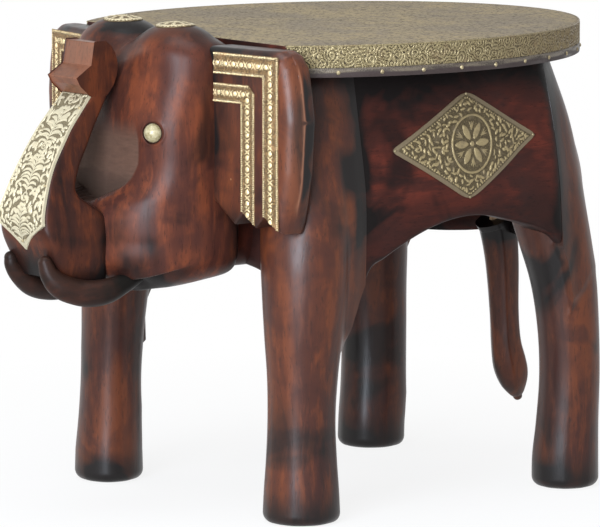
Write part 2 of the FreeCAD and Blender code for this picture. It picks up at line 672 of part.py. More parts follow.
def ear_front_y(x):
    """Y of the ear's front face, which slants back from the root to the outer edge."""
    slope = size("ear_slant") / (size("ear_reach") - size("head_half_width"))
    root_front = -size("head_back_ahead") - size("ear_back_gap") - size("ear_thickness")
    return root_front + slope * (x - size("head_half_width"))


def slanted_slab(inner_x, outer_x, proud, thickness):
    """Upright slab parallel to the ear's front face, its front proud of that face."""
    corners = [V(inner_x, ear_front_y(inner_x) - proud, 0), V(outer_x, ear_front_y(outer_x) - proud, 0),
               V(outer_x, ear_front_y(outer_x) - proud + thickness, 0),
               V(inner_x, ear_front_y(inner_x) - proud + thickness, 0)]
    return prism(polygon(corners), UP * FAR)


def ear():
    """Left ear board, rounded along its outer edge and let against the side of the head."""
    root_x = size("ear_reach") * EAR_ROOT_SHARE
    slab = slanted_slab(root_x, size("ear_reach"), 0, size("ear_thickness"))
    outer_edges = [edge for edge in slab.Edges if edge.BoundBox.ZLength > FAR / 2
                   and edge.BoundBox.XMin > size("ear_reach") - size("fit_gap")]
    board = slab.makeFillet(size("ear_edge_rounding"), outer_edges).common(ear_outline())
    return board.cut([head_solid, front_leg])


ear_left = ear()


def ear_strip(edge, width, top, point_rise):
    """L shaped brass strip: a level arm from the head and an upright arm with a slanted end."""
    inner, root = edge - width, size("strip_root")
    point, notch = size("ear_point_height") + point_rise, size("ear_notch_height") + point_rise
    corners = [V(root, -FAR, top), V(edge, -FAR, top), V(edge, -FAR, point), V(inner, -FAR, notch),
               V(inner, -FAR, top - width), V(root, -FAR, top - width)]
    skin = slanted_slab(root, edge, size("brass_thickness"), size("brass_thickness"))
    return skin.common(prism(polygon(corners), BACK * FAR)).cut(head_solid)


outer_strip = ear_strip(size("outer_strip_edge"), size("outer_strip_width"), size("outer_strip_top"), 0)
inner_strip = ear_strip(size("inner_strip_edge"), size("inner_strip_width"), size("inner_strip_top"),
                        size("small_overrun"))

# Crown caps: thin domed rosettes on the two domes
crown_top = V(size("dome_half_spacing"), dome_y, size("dome_base_height") + size("dome_rise"))


def crown_cap():
    """Brass skin of the left dome inside a round outline."""
    grown = FreeCAD.Matrix()
    thick = size("brass_thickness")
    grown.scale(size("dome_radius_wide") + thick, size("dome_radius_long") + thick,
                size("dome_rise") + thick)
    shell = Part.makeSphere(1).transformGeometry(grown)
    shell.translate(crown_top - UP * size("dome_rise"))
    punch = Part.makeCylinder(size("cap_radius"), FAR, crown_top - UP * size("dome_rise"), UP)
    return shell.common(punch).cut(head_solid)


cap_left = crown_cap()

# Eyes: round studs set half into the face
eye_centre = V(size("eye_half_spacing"), -size("head_back_ahead") - size("eye_from_back"),
               size("eye_height"))
eye_gaze = V(eye_centre.x, eye_centre.y + size("head_back_ahead"), 0)
eye_left = Part.makeSphere(size("eye_radius"), eye_centre, eye_gaze)
eye_socket = Part.makeSphere(size("eye_radius") + size("skin_gap"), eye_centre, eye_gaze)
head_solid = head_solid.cut([eye_socket, mirrored(eye_socket)])

# Dowels of the head, the ears and the tail
HEAD_DOWEL_PLACE_SHARES = [(-0.5, 0.63), (0.5, 0.63), (-0.5, 0.85), (0.5, 0.85)]
EAR_DOWEL_HEIGHT_SHARES = (0.72, 0.9)


def head_dowels(slack):
    """Long dowels from the chest through the neck into the head."""
    shapes = []
    for across, height in HEAD_DOWEL_PLACE_SHARES:
        back = -size("front_joint_ahead") - size("panel_thickness") / 2 + slack
        front = -size("head_back_ahead") - size("dowel_length") - slack
        start = V(size("neck_half_width") * across, back, size("seat_height") * height)
        shapes.append(Part.makeCylinder(size("dowel_radius"), back - front, start, -BACK))
    return shapes


def ear_dowels(slack):
    """Short dowels from the left ear into the side of the head."""
    half = size("dowel_length") / 2 + slack
    root = size("head_half_width")
    middle_y = ear_front_y(root) + size("ear_thickness") / 2
    return [Part.makeCylinder(size("dowel_radius"), 2 * half,
                              V(root - half, middle_y, size("seat_height") * share), LEFT)
            for share in EAR_DOWEL_HEIGHT_SHARES]


tail_top = V(0, size("tail_behind"), size("tail_top_height"))


def tail_dowel(slack):
    """Dowel from the tail up into the rump."""
    half = size("dowel_length") / 2 + slack
    return Part.makeCylinder(size("dowel_radius"), 2 * half, tail_top - UP * half, UP)


# Tail: round sections down a gentle curve, swelling to a bulb and ending in a blunt point
# Each row: height share up from the bottom, backward share of tail_sweep, radius share
TAIL_SHARES = [(0, 1, 0.3), (0.03, 1.0, 0.55), (0.09, 0.96, 0.82), (0.17, 0.8, 0.92), (0.28, 0.5, 0.8),
               (0.45, 0.32, 0.82), (0.65, 0.15, 0.95), (0.82, 0.03, 1.02), (1, 0, 1.08)]


def tail():
    """Tail from its blunt tip up into the underside of the rump."""
    tall = size("tail_top_height") - size("tail_bottom_height")
    rings = [Part.Wire([Part.makeCircle(size("tail_radius") * swell,
                                        V(0, size("tail_behind") + size("tail_sweep") * back,
                                          size("tail_bottom_height") + tall * height), UP)])
             for height, back, swell in TAIL_SHARES]
    return Part.makeLoft(rings, True)


tail_solid = tail().cut(rump_panel).cut(tail_dowel(size("dowel_slack")))
keep(solid("tail_piece", biggest(tail_solid)), "tail")
keep(solid("tail_peg", tail_dowel(0)), "tail_dowel")

# Pins of the ear strips and the trunk strip
STRIP_PIN_SHARES = {"outer": [(0.15, 0), (0.9, 0), (1, 0.35), (1, 0.7), (1, 0.93)],
                    "inner": [(0.2, 0), (1, 0.3), (1, 0.9)]}


def ear_pin_places():
    """Pin places along the middle of both strips of the left ear."""
    normal = V(ear_front_y(1) - ear_front_y(0), -1, 0).normalize()
    places = []
    for name, edge, width, top in (
            ("outer", size("outer_strip_edge"), size("outer_strip_width"), size("outer_strip_top")),
            ("inner", size("inner_strip_edge"), size("inner_strip_width"), size("inner_strip_top"))):
        level, upright = top - width / 2, edge - width / 2
        for along, down in STRIP_PIN_SHARES[name]:
            x = size("strip_root") + (upright - size("strip_root")) * along
            z = level - (level - size("ear_notch_height")) * down
            places.append((V(x, ear_front_y(x) - size("brass_thickness"), z), normal))
    return places


TRUNK_PIN_SHARES = [(-0.45, 0.06), (0.45, 0.06), (-0.6, 0.75), (0.6, 0.75), (0, 0.97)]


def trunk_pin_places():
    """Pin places near the ends of the trunk strip, found by rays from the front."""
    top, point = size("trunk_strip_top_height"), size("trunk_strip_point_height")
    places = []
    for across, down in TRUNK_PIN_SHARES:
        start = V(size("trunk_half_width") * across, -FAR, top - (top - point) * down)
        places.append(on_surface(trunk_strip, start, BACK))
    return places


left_pins, left_pin_holes = pins_and_holes(ear_pin_places())
middle_pins, middle_pin_holes = pins_and_holes(trunk_pin_places())
trim_pins = left_pins + [mirrored(one) for one in left_pins] + middle_pins
keep(solid("pins_of_trim", Part.makeCompound(trim_pins)), "trim_pins")

# Finish the head pieces: drill the dowel and pin holes, and name the pieces of both sides
slack = size("dowel_slack")
neck_holes = head_dowels(slack)
left_ear_holes = ear_dowels(slack)
right_ear_holes = [mirrored(one) for one in left_ear_holes]
keep(solid("head_pegs", Part.makeCompound(head_dowels(0))), "head_dowels")
keep(solid("ear_pegs", Part.makeCompound(ear_dowels(0) + [mirrored(one) for one in ear_dowels(0)])),
     "ear_dowels")
keep(solid("head", head_solid.cut(neck_holes + left_ear_holes + right_ear_holes)), "head_block")
keep(solid("neck", neck.cut(neck_holes)), "neck_block")
keep(solid("trunk_piece", trunk_solid.cut(middle_pin_holes)), "trunk")
keep(solid("strip_of_trunk", trunk_strip.cut(middle_pin_holes)), "trunk_strip")

PAIRED = [("tusk", tusk_left), ("ear", ear_left.cut(left_ear_holes + left_pin_holes)),
          ("ear_outer_strip", outer_strip.cut(left_pin_holes)),
          ("ear_inner_strip", inner_strip.cut(left_pin_holes)),
          ("crown_cap", cap_left), ("eye", eye_left)]
for name, shape in PAIRED:
    keep(solid(name + "_one", shape), name + "_left")
    keep(solid(name + "_other", mirrored(shape)), name + "_right")

# Finish the body pieces: drill the holes of the dowels, seat screws, plate pins and head dowels
mirrored_pin_holes = [mirrored(one) for one in plate_pin_holes]
for label, shape in LEGS.items():
    keep(solid(label + "_piece", shape.cut([dowel_holes, screws] + neck_holes)), label)
keep(solid("panel_left", side_panel.cut([dowel_holes] + plate_pin_holes)), "side_panel_left")
keep(solid("panel_right", mirrored(side_panel).cut([dowel_holes] + mirrored_pin_holes)),
     "side_panel_right")
keep(solid("panel_chest", chest_panel.cut([dowel_holes] + neck_holes)), "chest_panel")
keep(solid("panel_rump", rump_panel.cut([dowel_holes, tail_dowel(slack)])), "rump_panel")

# Check every object, then write one file for each piece
doc.recompute()
for obj in doc.Objects:
    if "Invalid" in obj.State or "Error" in obj.State:
        raise RuntimeError(f"{obj.Name} failed: {obj.State}")
failed = [obj.Label for obj in pieces if obj.Shape.isNull() or not obj.Shape.isValid()]
if failed:
    raise RuntimeError(f"No valid shape: {failed}")
os.makedirs("parts", exist_ok=True)
whole = FreeCAD.BoundBox()
for obj in pieces:
    obj.Shape.exportStep(f"parts/{obj.Label}.step")
    whole.add(obj.Shape.BoundBox)
    print(f"{obj.Label}: {len(obj.Shape.Solids)} solid(s), {obj.Shape.Volume / 1000:.2f} cm3")
print(f"{len(pieces)} pieces, box X {whole.XMin:.2f} {whole.XMax:.2f} Y {whole.YMin:.2f} "
      f"{whole.YMax:.2f} Z {whole.ZMin:.2f} {whole.ZMax:.2f}")
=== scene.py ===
# %% [markdown]
# # A carved elephant stool
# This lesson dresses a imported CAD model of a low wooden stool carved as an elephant.
# The CAD pieces stay the skeleton: each carved or embossed piece made here stands in for
# one CAD node and keeps its place. All the shapes are surfaces worked out with numpy.

# %% Load the frame
import math

import bpy
import numpy as np
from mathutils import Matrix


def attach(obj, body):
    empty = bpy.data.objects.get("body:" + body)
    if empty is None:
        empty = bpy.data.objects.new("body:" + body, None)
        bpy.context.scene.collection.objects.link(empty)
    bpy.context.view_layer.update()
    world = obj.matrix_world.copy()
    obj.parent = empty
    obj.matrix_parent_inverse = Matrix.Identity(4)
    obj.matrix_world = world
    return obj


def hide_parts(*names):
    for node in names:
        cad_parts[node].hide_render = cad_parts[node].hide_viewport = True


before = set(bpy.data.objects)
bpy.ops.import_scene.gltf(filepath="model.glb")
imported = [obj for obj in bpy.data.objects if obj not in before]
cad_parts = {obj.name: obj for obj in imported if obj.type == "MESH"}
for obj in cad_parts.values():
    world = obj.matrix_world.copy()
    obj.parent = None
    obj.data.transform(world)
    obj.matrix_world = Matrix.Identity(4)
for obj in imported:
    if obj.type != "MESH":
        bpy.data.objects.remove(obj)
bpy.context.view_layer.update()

# %% [markdown]
# ## Millimetres about the middle of the feet
# Every shape below is drawn in millimetres about the middle of the four feet, with the
# elephant looking along -Y and its left side towards +X. One small function turns such
# points into metres in the frame, so no piece is ever moved afterwards.

# %% From millimetres to the frame
STANCE_BACK = 53.14


def in_frame(points):
    """Points in millimetres, moved back by STANCE_BACK along Y and divided by a thousand."""
    return (np.asarray(points, dtype=float) + (0.0, STANCE_BACK, 0.0)) / 1000.0


print("middle of the feet, metres in the frame:", in_frame((0.0, 0.0, 0.0)).tolist())

# %% [markdown]
# ## Camera
# The photograph is taken from in front of the elephant's left shoulder, a little above
# it, with a long lens. The camera stands on a line from a target, at an azimuth and an
# elevation, and a Track To is not needed: the turn is written as Euler angles.

# %% Set up the camera
VIEW_AZIMUTH, VIEW_PITCH, VIEW_DISTANCE = math.radians(52.1), math.radians(7.7), 4837.0
AIM_ASIDE, AIM_HEIGHT, LENS = -30.0, 180.9, 354.2
aside = np.array([math.cos(VIEW_AZIMUTH), math.sin(VIEW_AZIMUTH), 0.0])
outwards = np.array([math.sin(VIEW_AZIMUTH) * math.cos(VIEW_PITCH),
                     -math.cos(VIEW_AZIMUTH) * math.cos(VIEW_PITCH), math.sin(VIEW_PITCH)])
aim = np.array([0.0, 0.0, AIM_HEIGHT]) + aside * AIM_ASIDE
camera_data = bpy.data.cameras.new("camera")
camera_data.lens = LENS
camera_data.sensor_width = 36.0
camera_data.clip_end = 50.0
camera = bpy.data.objects.new("camera", camera_data)
camera.location = in_frame(aim + outwards * VIEW_DISTANCE)
camera.rotation_euler = (math.pi / 2 - VIEW_PITCH, 0.0, VIEW_AZIMUTH)
bpy.context.scene.collection.objects.link(camera)
bpy.context.scene.camera = camera
bpy.context.scene.view_settings.view_transform = "Standard"
print("camera at", [round(v, 3) for v in camera.location])

# %% [markdown]
# ## Floor, light and world
# The background is white. The floor and the world show white to the camera and in
# reflections, through Light Path, while the light that they give stays plain. A large
# soft lamp stands where the window was, in front of the elephant. Two weaker ones, one
# overhead and one from the room's side, fill in.

# %% Node helper
def add_node(tree, kind, inputs=(), **settings):
    """A node of one kind, with its settings made and its named or numbered inputs filled.

    An input value that is an output socket is linked, and any other is written on the input.
    """
    node = tree.nodes.new(kind)
    for name, value in settings.items():
        setattr(node, name, value)
    for name, value in dict(inputs).items():
        if isinstance(value, bpy.types.NodeSocket):
            tree.links.new(value, node.inputs[name])
        else:
            node.inputs[name].default_value = value
    return node


def seen_directly(tree):
    """A value of 1 for camera, glossy and transmission rays, and 0 for the rest."""
    path = add_node(tree, "ShaderNodeLightPath")
    either = add_node(tree, "ShaderNodeMath", {0: path.outputs["Is Camera Ray"],
                                               1: path.outputs["Is Glossy Ray"]}, operation="MAXIMUM")
    return add_node(tree, "ShaderNodeMath", {0: either.outputs[0],
                                             1: path.outputs["Is Transmission Ray"]},
                    operation="MAXIMUM").outputs[0]


# %% World and floor
world = bpy.data.worlds.new("studio")
bpy.context.scene.world = world
world.use_nodes = True
tree = world.node_tree
tree.nodes.clear()
soft = add_node(tree, "ShaderNodeBackground", {"Color": (0.93, 0.96, 1.0, 1.0), "Strength": 0.33})
white = add_node(tree, "ShaderNodeBackground", {"Color": (1.0, 1.0, 1.0, 1.0), "Strength": 1.0})
mixed = add_node(tree, "ShaderNodeMixShader", {0: seen_directly(tree), 1: soft.outputs[0],
                                               2: white.outputs[0]})
add_node(tree, "ShaderNodeOutputWorld", {"Surface": mixed.outputs[0]})

floor_material = bpy.data.materials.new("pale_floor")
floor_material.use_nodes = True
tree = floor_material.node_tree
tree.nodes.clear()
paper = add_node(tree, "ShaderNodeBsdfDiffuse", {"Color": (0.8, 0.8, 0.8, 1.0)})
glow = add_node(tree, "ShaderNodeEmission", {"Color": (1.0, 1.0, 1.0, 1.0), "Strength": 1.0})
from_middle = add_node(tree, "ShaderNodeVectorMath", {0: add_node(tree, "ShaderNodeTexCoord").outputs["Object"]},
                       operation="LENGTH")
paper_white = add_node(tree, "ShaderNodeMapRange", {"Value": from_middle.outputs["Value"], "From Min": 0.15,
                                                    "From Max": 0.75, "To Min": 0.86, "To Max": 1.0})
share = add_node(tree, "ShaderNodeMath", {0: seen_directly(tree), 1: paper_white.outputs[0]},
                 operation="MULTIPLY")
mixed = add_node(tree, "ShaderNodeMixShader", {0: share.outputs[0], 1: paper.outputs[0],
                                               2: glow.outputs[0]})
add_node(tree, "ShaderNodeOutputMaterial", {"Surface": mixed.outputs[0]})
floor_mesh = bpy.data.meshes.new("floor")
floor_mesh.from_pydata([(-6, -6, 0), (6, -6, 0), (6, 6, 0), (-6, 6, 0)], [], [(0, 1, 2, 3)])
floor_mesh.materials.append(floor_material)
floor = bpy.data.objects.new("floor", floor_mesh)
bpy.context.scene.collection.objects.link(floor)
print("stage:", world.name, "and", floor.name)

# %% Lamps
def soft_lamp(name, place, power, wide, tall, colour):
    """A rectangular area lamp at a place in metres that points at the middle of the stool."""
    data = bpy.data.lights.new(name, "AREA")
    data.shape, data.size, data.size_y = "RECTANGLE", wide, tall
    data.energy, data.color = power, colour
    lamp = bpy.data.objects.new(name, data)
    lamp.location = place
    towards = np.array([0.0, 0.0, 0.2]) - np.array(place)
    flat = math.hypot(towards[0], towards[1])
    lamp.rotation_euler = (math.atan2(flat, -towards[2]), 0.0, math.atan2(-towards[0], towards[1]))
    bpy.context.scene.collection.objects.link(lamp)
    return lamp


soft_lamp("window", (1.25, -1.9, 0.8), 92.0, 1.1, 1.5, (0.82, 0.89, 1.0))
soft_lamp("ceiling", (0.3, -0.5, 2.3), 28.0, 1.4, 1.4, (0.9, 0.95, 1.0))
soft_lamp("room", (-1.9, -1.3, 0.8), 9.0, 1.0, 1.0, (1.0, 0.94, 0.86))

# %% [markdown]
# ## Surfaces from grids
# A piece is a grid of points: rows run along it and columns run round it. The helper
# below joins neighbours into four sided faces, closes both ends with a fan, and checks
# the signed volume, so that faces always point outwards, on mirrored pieces too.

# %% Curves through tables
def follow(table, at):
    """A smooth curve through the rows of a table, whose first column is the parameter.

    Between two rows it is a cubic Hermite step, with slopes taken from the neighbours.
    """
    table = np.asarray(table, dtype=float)
    marks, values = table[:, 0], table[:, 1:]
    slopes = np.gradient(values, marks, axis=0)
    at = np.clip(np.asarray(at, dtype=float), marks[0], marks[-1])
    k = np.clip(np.searchsorted(marks, at, side="right") - 1, 0, len(marks) - 2)
    width = (marks[k + 1] - marks[k])[..., None]
    s = (at - marks[k])[..., None] / width
    return ((2 * s**3 - 3 * s**2 + 1) * values[k] + (s**3 - 2 * s**2 + s) * width * slopes[k]
            + (3 * s**2 - 2 * s**3) * values[k + 1] + (s**3 - s**2) * width * slopes[k + 1])


def soft_step(low, high, value):
    """0 below low, 1 above high, and a smooth S between them."""
    s = np.clip((value - low) / (high - low), 0.0, 1.0)
    return s * s * (3 - 2 * s)


def soft_min(a, b, width):
    """The smaller of two values, rounded where they are within width of each other."""
    h = np.clip(0.5 + 0.5 * (b - a) / width, 0.0, 1.0)
    return b * (1 - h) + a * h - width * h * (1 - h)


def soft_max(a, b, width):
    """The larger of two values, rounded where they are within width of each other."""
    return -soft_min(-a, -b, width)


# %% Grids to meshes
def grid_faces(rows, cols, closed):
    """Corner numbers of the four sided faces of a grid, wrapped round when it is closed."""
    r = np.arange(rows - 1)[:, None]
    c = np.arange(cols if closed else cols - 1)[None, :]
    following = (c + 1) % cols
    return np.stack([r * cols + c, r * cols + following, (r + 1) * cols + following,
                     (r + 1) * cols + c], axis=-1).reshape(-1, 4)


def signed_volume(points, faces):
    """Sum of the tetrahedra from the origin to each face, halved from its two triangles."""
    total = 0.0
    for second, third in ((1, 2), (2, 3)):
        a, b, c = points[faces[:, 0]], points[faces[:, second]], points[faces[:, third]]
        total += np.einsum("ij,ij->i", a, np.cross(b, c)).sum()
    return total / 6.0


def make_mesh(name, points, faces, fields, sharp_angle):
    """A mesh with outward faces, smooth shading, sharp edges past an angle, and its fields."""
    if signed_volume(points, faces) < 0:
        faces = faces[:, ::-1]
    listed = [tuple(dict.fromkeys(face)) for face in faces.tolist()]
    mesh = bpy.data.meshes.new(name)
    mesh.from_pydata(in_frame(points).tolist(), [], listed)
    for field, values in fields.items():
        mesh.attributes.new(field, "FLOAT", "POINT").data.foreach_set(
            "value", np.asarray(values, dtype=np.float32).ravel())
    mesh.shade_smooth()
    mesh.set_sharp_from_angle(angle=math.radians(sharp_angle))
    mesh.validate()
    return mesh


# %% Round pieces and thin sheets
def round_mesh(name, points, fields=None, sharp_angle=50.0):
    """A closed mesh from a grid whose columns run round the piece, with a fan at each end."""
    rows, cols = points.shape[:2]
    flat = points.reshape(-1, 3)
    ends = np.stack([points[0].mean(axis=0), points[-1].mean(axis=0)])
    first, last = rows * cols, rows * cols + 1
    ring = np.arange(cols)
    after = (ring + 1) % cols
    base = (rows - 1) * cols
    start = np.stack([np.full(cols, first), after, ring, np.full(cols, first)], axis=-1)
    finish = np.stack([np.full(cols, last), base + ring, base + after, np.full(cols, last)], axis=-1)
    faces = np.concatenate([grid_faces(rows, cols, True), start, finish])
    full = {}
    for field, values in (fields or {}).items():
        full[field] = np.concatenate([values.ravel(), [values[0].mean(), values[-1].mean()]])
    return make_mesh(name, np.concatenate([flat, ends]), faces, full, sharp_angle)


def sheet_mesh(name, front, back, fields=None, sharp_angle=60.0):
    """A closed thin sheet from two open grids, its front and its back, joined round the edge."""
    rows, cols = front.shape[:2]
    count = rows * cols
    number = np.arange(count).reshape(rows, cols)
    rim = np.concatenate([number[0, :-1], number[:-1, -1], number[-1, :0:-1], number[:0:-1, 0]])
    after = np.roll(rim, -1)
    front_faces = grid_faces(rows, cols, False)
    wall = np.stack([rim, rim + count, after + count, after], axis=-1)
    faces = np.concatenate([front_faces, front_faces[:, ::-1] + count, wall])
    full = {field: np.concatenate([values.ravel(), values.ravel()])
            for field, values in (fields or {}).items()}
    points = np.concatenate([front.reshape(-1, 3), back.reshape(-1, 3)])
    return make_mesh(name, points, faces, full, sharp_angle)


# %% Put a piece in the scene
def show(name, mesh, nodes, material):
    """Put a mesh in the scene in place of CAD nodes, riding on the stool's one body."""
    piece = bpy.data.objects.new(name, mesh)
    mesh.materials.append(material)
    bpy.context.scene.collection.objects.link(piece)
    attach(piece, "root")
    if nodes:
        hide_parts(*nodes)
    print(f"{name}: {len(mesh.polygons)} faces")
    return piece


# %% [markdown]
# ## Lacquered wood
# The wood is stained a dark red brown and lacquered. Long streaks of orange and near
# black run along the grain, and fine pores show in it. A pale painted highlight is laid
# on some edges and facets. The streaks are noise on Object coordinates that are squeezed
# along the grain. One node group makes them, and each wood puts its own grain direction
# and tones into it.

# %% Node helpers for finishes
def new_group(name, inputs, outputs):
    """An empty shader group with named inputs and outputs, and its two end nodes."""
    group = bpy.data.node_groups.new(name, "ShaderNodeTree")
    for label, kind, value in inputs:
        socket = group.interface.new_socket(name=label, in_out="INPUT", socket_type=kind)
        if value is not None:
            socket.default_value = value
    for label, kind in outputs:
        group.interface.new_socket(name=label, in_out="OUTPUT", socket_type=kind)
    return group, add_node(group, "NodeGroupInput"), add_node(group, "NodeGroupOutput")


def maths(tree, operation, first, second=0.0, clamp=False):
    """The output of one Math node."""
    return add_node(tree, "ShaderNodeMath", {0: first, 1: second}, operation=operation,
                    use_clamp=clamp).outputs[0]


def blend_colours(tree, share, first, second, way="MIX"):
    """The colour output of one Mix node for colours."""
    node = add_node(tree, "ShaderNodeMix", data_type="RGBA", blend_type=way)
    for name, value in (("Factor", share), ("A", first), ("B", second)):
        socket = [s for s in node.inputs if s.name == name and s.type in
                  (("VALUE",) if name == "Factor" else ("RGBA",))][0]
        if isinstance(value, bpy.types.NodeSocket):
            tree.links.new(value, socket)
        else:
            socket.default_value = value
    return [s for s in node.outputs if s.type == "RGBA"][0]


def from_range(tree, value, low, high, to_low=0.0, to_high=1.0):
    """A smooth Map Range of a value."""
    return add_node(tree, "ShaderNodeMapRange", {"Value": value, "From Min": low, "From Max": high,
                                                 "To Min": to_low, "To Max": to_high},
                    interpolation_type="SMOOTHSTEP").outputs[0]


def noise(tree, vector, scale, detail=3.0, roughness=0.55, distortion=0.0):
    """The value of one Noise Texture."""
    return add_node(tree, "ShaderNodeTexNoise", {"Vector": vector, "Scale": scale, "Detail": detail,
                                                 "Roughness": roughness, "Distortion": distortion}
                    ).outputs[0]


# %% Group for lacquered wood
wood_group, given, made = new_group(
    "lacquered_wood",
    [("Along", "NodeSocketVector", None), ("Place", "NodeSocketVector", None),
     ("Dark", "NodeSocketColor", (0.010, 0.007, 0.005, 1)),
     ("Body", "NodeSocketColor", (0.045, 0.015, 0.010, 1)),
     ("Warm", "NodeSocketColor", (0.12, 0.034, 0.014, 1)),
     ("Shade", "NodeSocketFloat", 0.0), ("Glow", "NodeSocketFloat", 0.0)],
    [("Colour", "NodeSocketColor"), ("Roughness", "NodeSocketFloat"), ("Height", "NodeSocketFloat")])
along, place = given.outputs["Along"], given.outputs["Place"]
broad = noise(wood_group, along, 26.0, 3.0, 0.6, 0.6)
streak = noise(wood_group, along, 120.0, 4.0, 0.65, 0.3)
pores = noise(wood_group, along, 620.0, 2.0, 0.6)
cloud = noise(wood_group, place, 20.0, 3.0, 0.6, 0.8)
smudge = noise(wood_group, place, 9.0, 3.0, 0.55, 1.2)
warmth = maths(wood_group, "ADD", from_range(wood_group, streak, 0.44, 0.68, 0.0, 0.75),
               from_range(wood_group, broad, 0.46, 0.66, 0.0, 0.7))
warmth = maths(wood_group, "ADD", warmth, given.outputs["Glow"])
warmth = maths(wood_group, "MULTIPLY", warmth, from_range(wood_group, cloud, 0.34, 0.6, 0.25, 1.15),
               clamp=True)
darkness = maths(wood_group, "ADD", from_range(wood_group, smudge, 0.5, 0.66, 0.0, 0.8),
                 from_range(wood_group, broad, 0.3, 0.44, 0.5, 0.0))
darkness = maths(wood_group, "ADD", darkness, maths(wood_group, "MULTIPLY", given.outputs["Shade"],
                                                    from_range(wood_group, cloud, 0.3, 0.55, 0.6, 1.15)),
                 clamp=True)
tone = blend_colours(wood_group, warmth, given.outputs["Body"], given.outputs["Warm"])
tone = blend_colours(wood_group, darkness, tone, given.outputs["Dark"])
pored = from_range(wood_group, pores, 0.58, 0.7)
tone = blend_colours(wood_group, maths(wood_group, "MULTIPLY", pored, 0.4), tone,
                     given.outputs["Dark"])
gloss = maths(wood_group, "ADD", from_range(wood_group, streak, 0.3, 0.75, 0.22, 0.34),
              maths(wood_group, "MULTIPLY", cloud, 0.1))
height = maths(wood_group, "SUBTRACT", maths(wood_group, "MULTIPLY", streak, 0.5),
               maths(wood_group, "MULTIPLY", pored, 0.25))
wood_group.links.new(tone, made.inputs["Colour"])
wood_group.links.new(gloss, made.inputs["Roughness"])
wood_group.links.new(height, made.inputs["Height"])
print("group", wood_group.name, "has", len(wood_group.nodes), "nodes")

# %% A lacquered wood
# Tones of bare sawn wood, of its painted shade, and of the pale painted highlight.
SAWN_DEEP, SAWN_PALE = (0.058, 0.031, 0.021, 1.0), (0.102, 0.054, 0.037, 1.0)
SAWN_SHADED, HIGHLIGHT_PALE = (0.03, 0.02, 0.016, 1.0), (0.34, 0.15, 0.085, 1.0)


def new_material(name):
    """An empty node material."""
    material = bpy.data.materials.new(name)
    material.use_nodes = True
    material.node_tree.nodes.clear()
    return material, material.node_tree


def field(tree, name):
    """A value that was worked out for every point of a piece."""
    return add_node(tree, "ShaderNodeAttribute", attribute_name=name).outputs["Fac"]


def lacquered(name, grain, shift, dark, body, warm, gloss=0.27, dullness=0.03):
    """Lacquered wood whose grain is squeezed by the factors in grain.

    Where the field called sawn is 1 the wood is bare, dull and greyish brown, and where
    the field of the painted highlight is 1 a pale painted highlight is mixed in.
    """
    material, tree = new_material(name)
    place = add_node(tree, "ShaderNodeTexCoord").outputs["Object"]
    along = add_node(tree, "ShaderNodeMapping", {"Vector": place, "Location": shift, "Scale": grain})
    wood = add_node(tree, "ShaderNodeGroup", node_tree=wood_group)
    tree.links.new(along.outputs[0], wood.inputs["Along"])
    tree.links.new(place, wood.inputs["Place"])
    for label, colour in (("Dark", dark), ("Body", body), ("Warm", warm)):
        wood.inputs[label].default_value = (*colour, 1.0)
    tree.links.new(field(tree, "shade"), wood.inputs["Shade"])
    tree.links.new(field(tree, "glow"), wood.inputs["Glow"])
    level = add_node(tree, "ShaderNodeMapping", {"Vector": place, "Scale": (0.25, 0.25, 1.0)})
    saw_marks = noise(tree, level.outputs[0], 420.0, 2.0, 0.6)
    bare = blend_colours(tree, saw_marks, SAWN_DEEP, SAWN_PALE)
    bare = blend_colours(tree, maths(tree, "MULTIPLY", field(tree, "shade"), 0.8), bare, SAWN_SHADED)
    sawn = field(tree, "sawn")
    # A pale painted highlight, broken up by the grain, is mixed in where its field is high.
    highlight_share = maths(tree, "MULTIPLY", field(tree, "painted_highlight"),
                   from_range(tree, wood.outputs["Height"], 0.1, 0.32, 0.55, 1.0))
    lacquer = blend_colours(tree, highlight_share, wood.outputs["Colour"], HIGHLIGHT_PALE)
    bump = add_node(tree, "ShaderNodeBump", {"Height": wood.outputs["Height"], "Strength": 0.25,
                                             "Distance": 0.0006})
    skin = add_node(tree, "ShaderNodeBsdfPrincipled", {
        "Base Color": blend_colours(tree, sawn, lacquer, bare),
        "Roughness": maths(tree, "ADD", wood.outputs["Roughness"],
                           maths(tree, "ADD", maths(tree, "MULTIPLY", sawn, 0.3), dullness)),
        "Normal": bump.outputs[0], "Specular IOR Level": gloss})
    add_node(tree, "ShaderNodeOutputMaterial", {"Surface": skin.outputs[0]})
    return material


# %% Woods
DARK, RED, ORANGE = (0.0065, 0.0048, 0.0045), (0.036, 0.0115, 0.0085), (0.105, 0.028, 0.0105)
trunk_wood = lacquered("trunk_wood", (1.0, 1.0, 0.2), (0.0, 0.3, 0.6), DARK, (0.026, 0.0095, 0.007),
                       (0.085, 0.022, 0.009), 0.11)
upright_wood = lacquered("upright_wood", (1.0, 1.0, 0.2), (0.0, 0.0, 0.0), DARK, RED, ORANGE)
level_wood = lacquered("level_wood", (1.0, 0.2, 1.0), (0.3, 0.1, 0.0), DARK, (0.034, 0.0115, 0.009),
                       (0.09, 0.020, 0.0125), 0.09, 0.1)
cross_wood = lacquered("cross_wood", (0.2, 1.0, 1.0), (0.7, 0.2, 0.1), DARK, (0.034, 0.0115, 0.009),
                       (0.085, 0.021, 0.0125), 0.09, 0.1)
tusk_wood = lacquered("tusk_wood", (0.6, 0.25, 1.0), (0.2, 0.5, 0.2), (0.007, 0.006, 0.005),
                      (0.015, 0.008, 0.006), (0.036, 0.013, 0.008), 0.12, 0.1)
head_wood = lacquered("head_wood", (1.0, 1.0, 0.2), (0.4, 0.1, 0.2), DARK, (0.044, 0.0145, 0.0105),
                      (0.125, 0.033, 0.014), 0.14, 0.04)
print("woods:", [wood.name for wood in (trunk_wood, upright_wood, level_wood, cross_wood, tusk_wood, head_wood)])

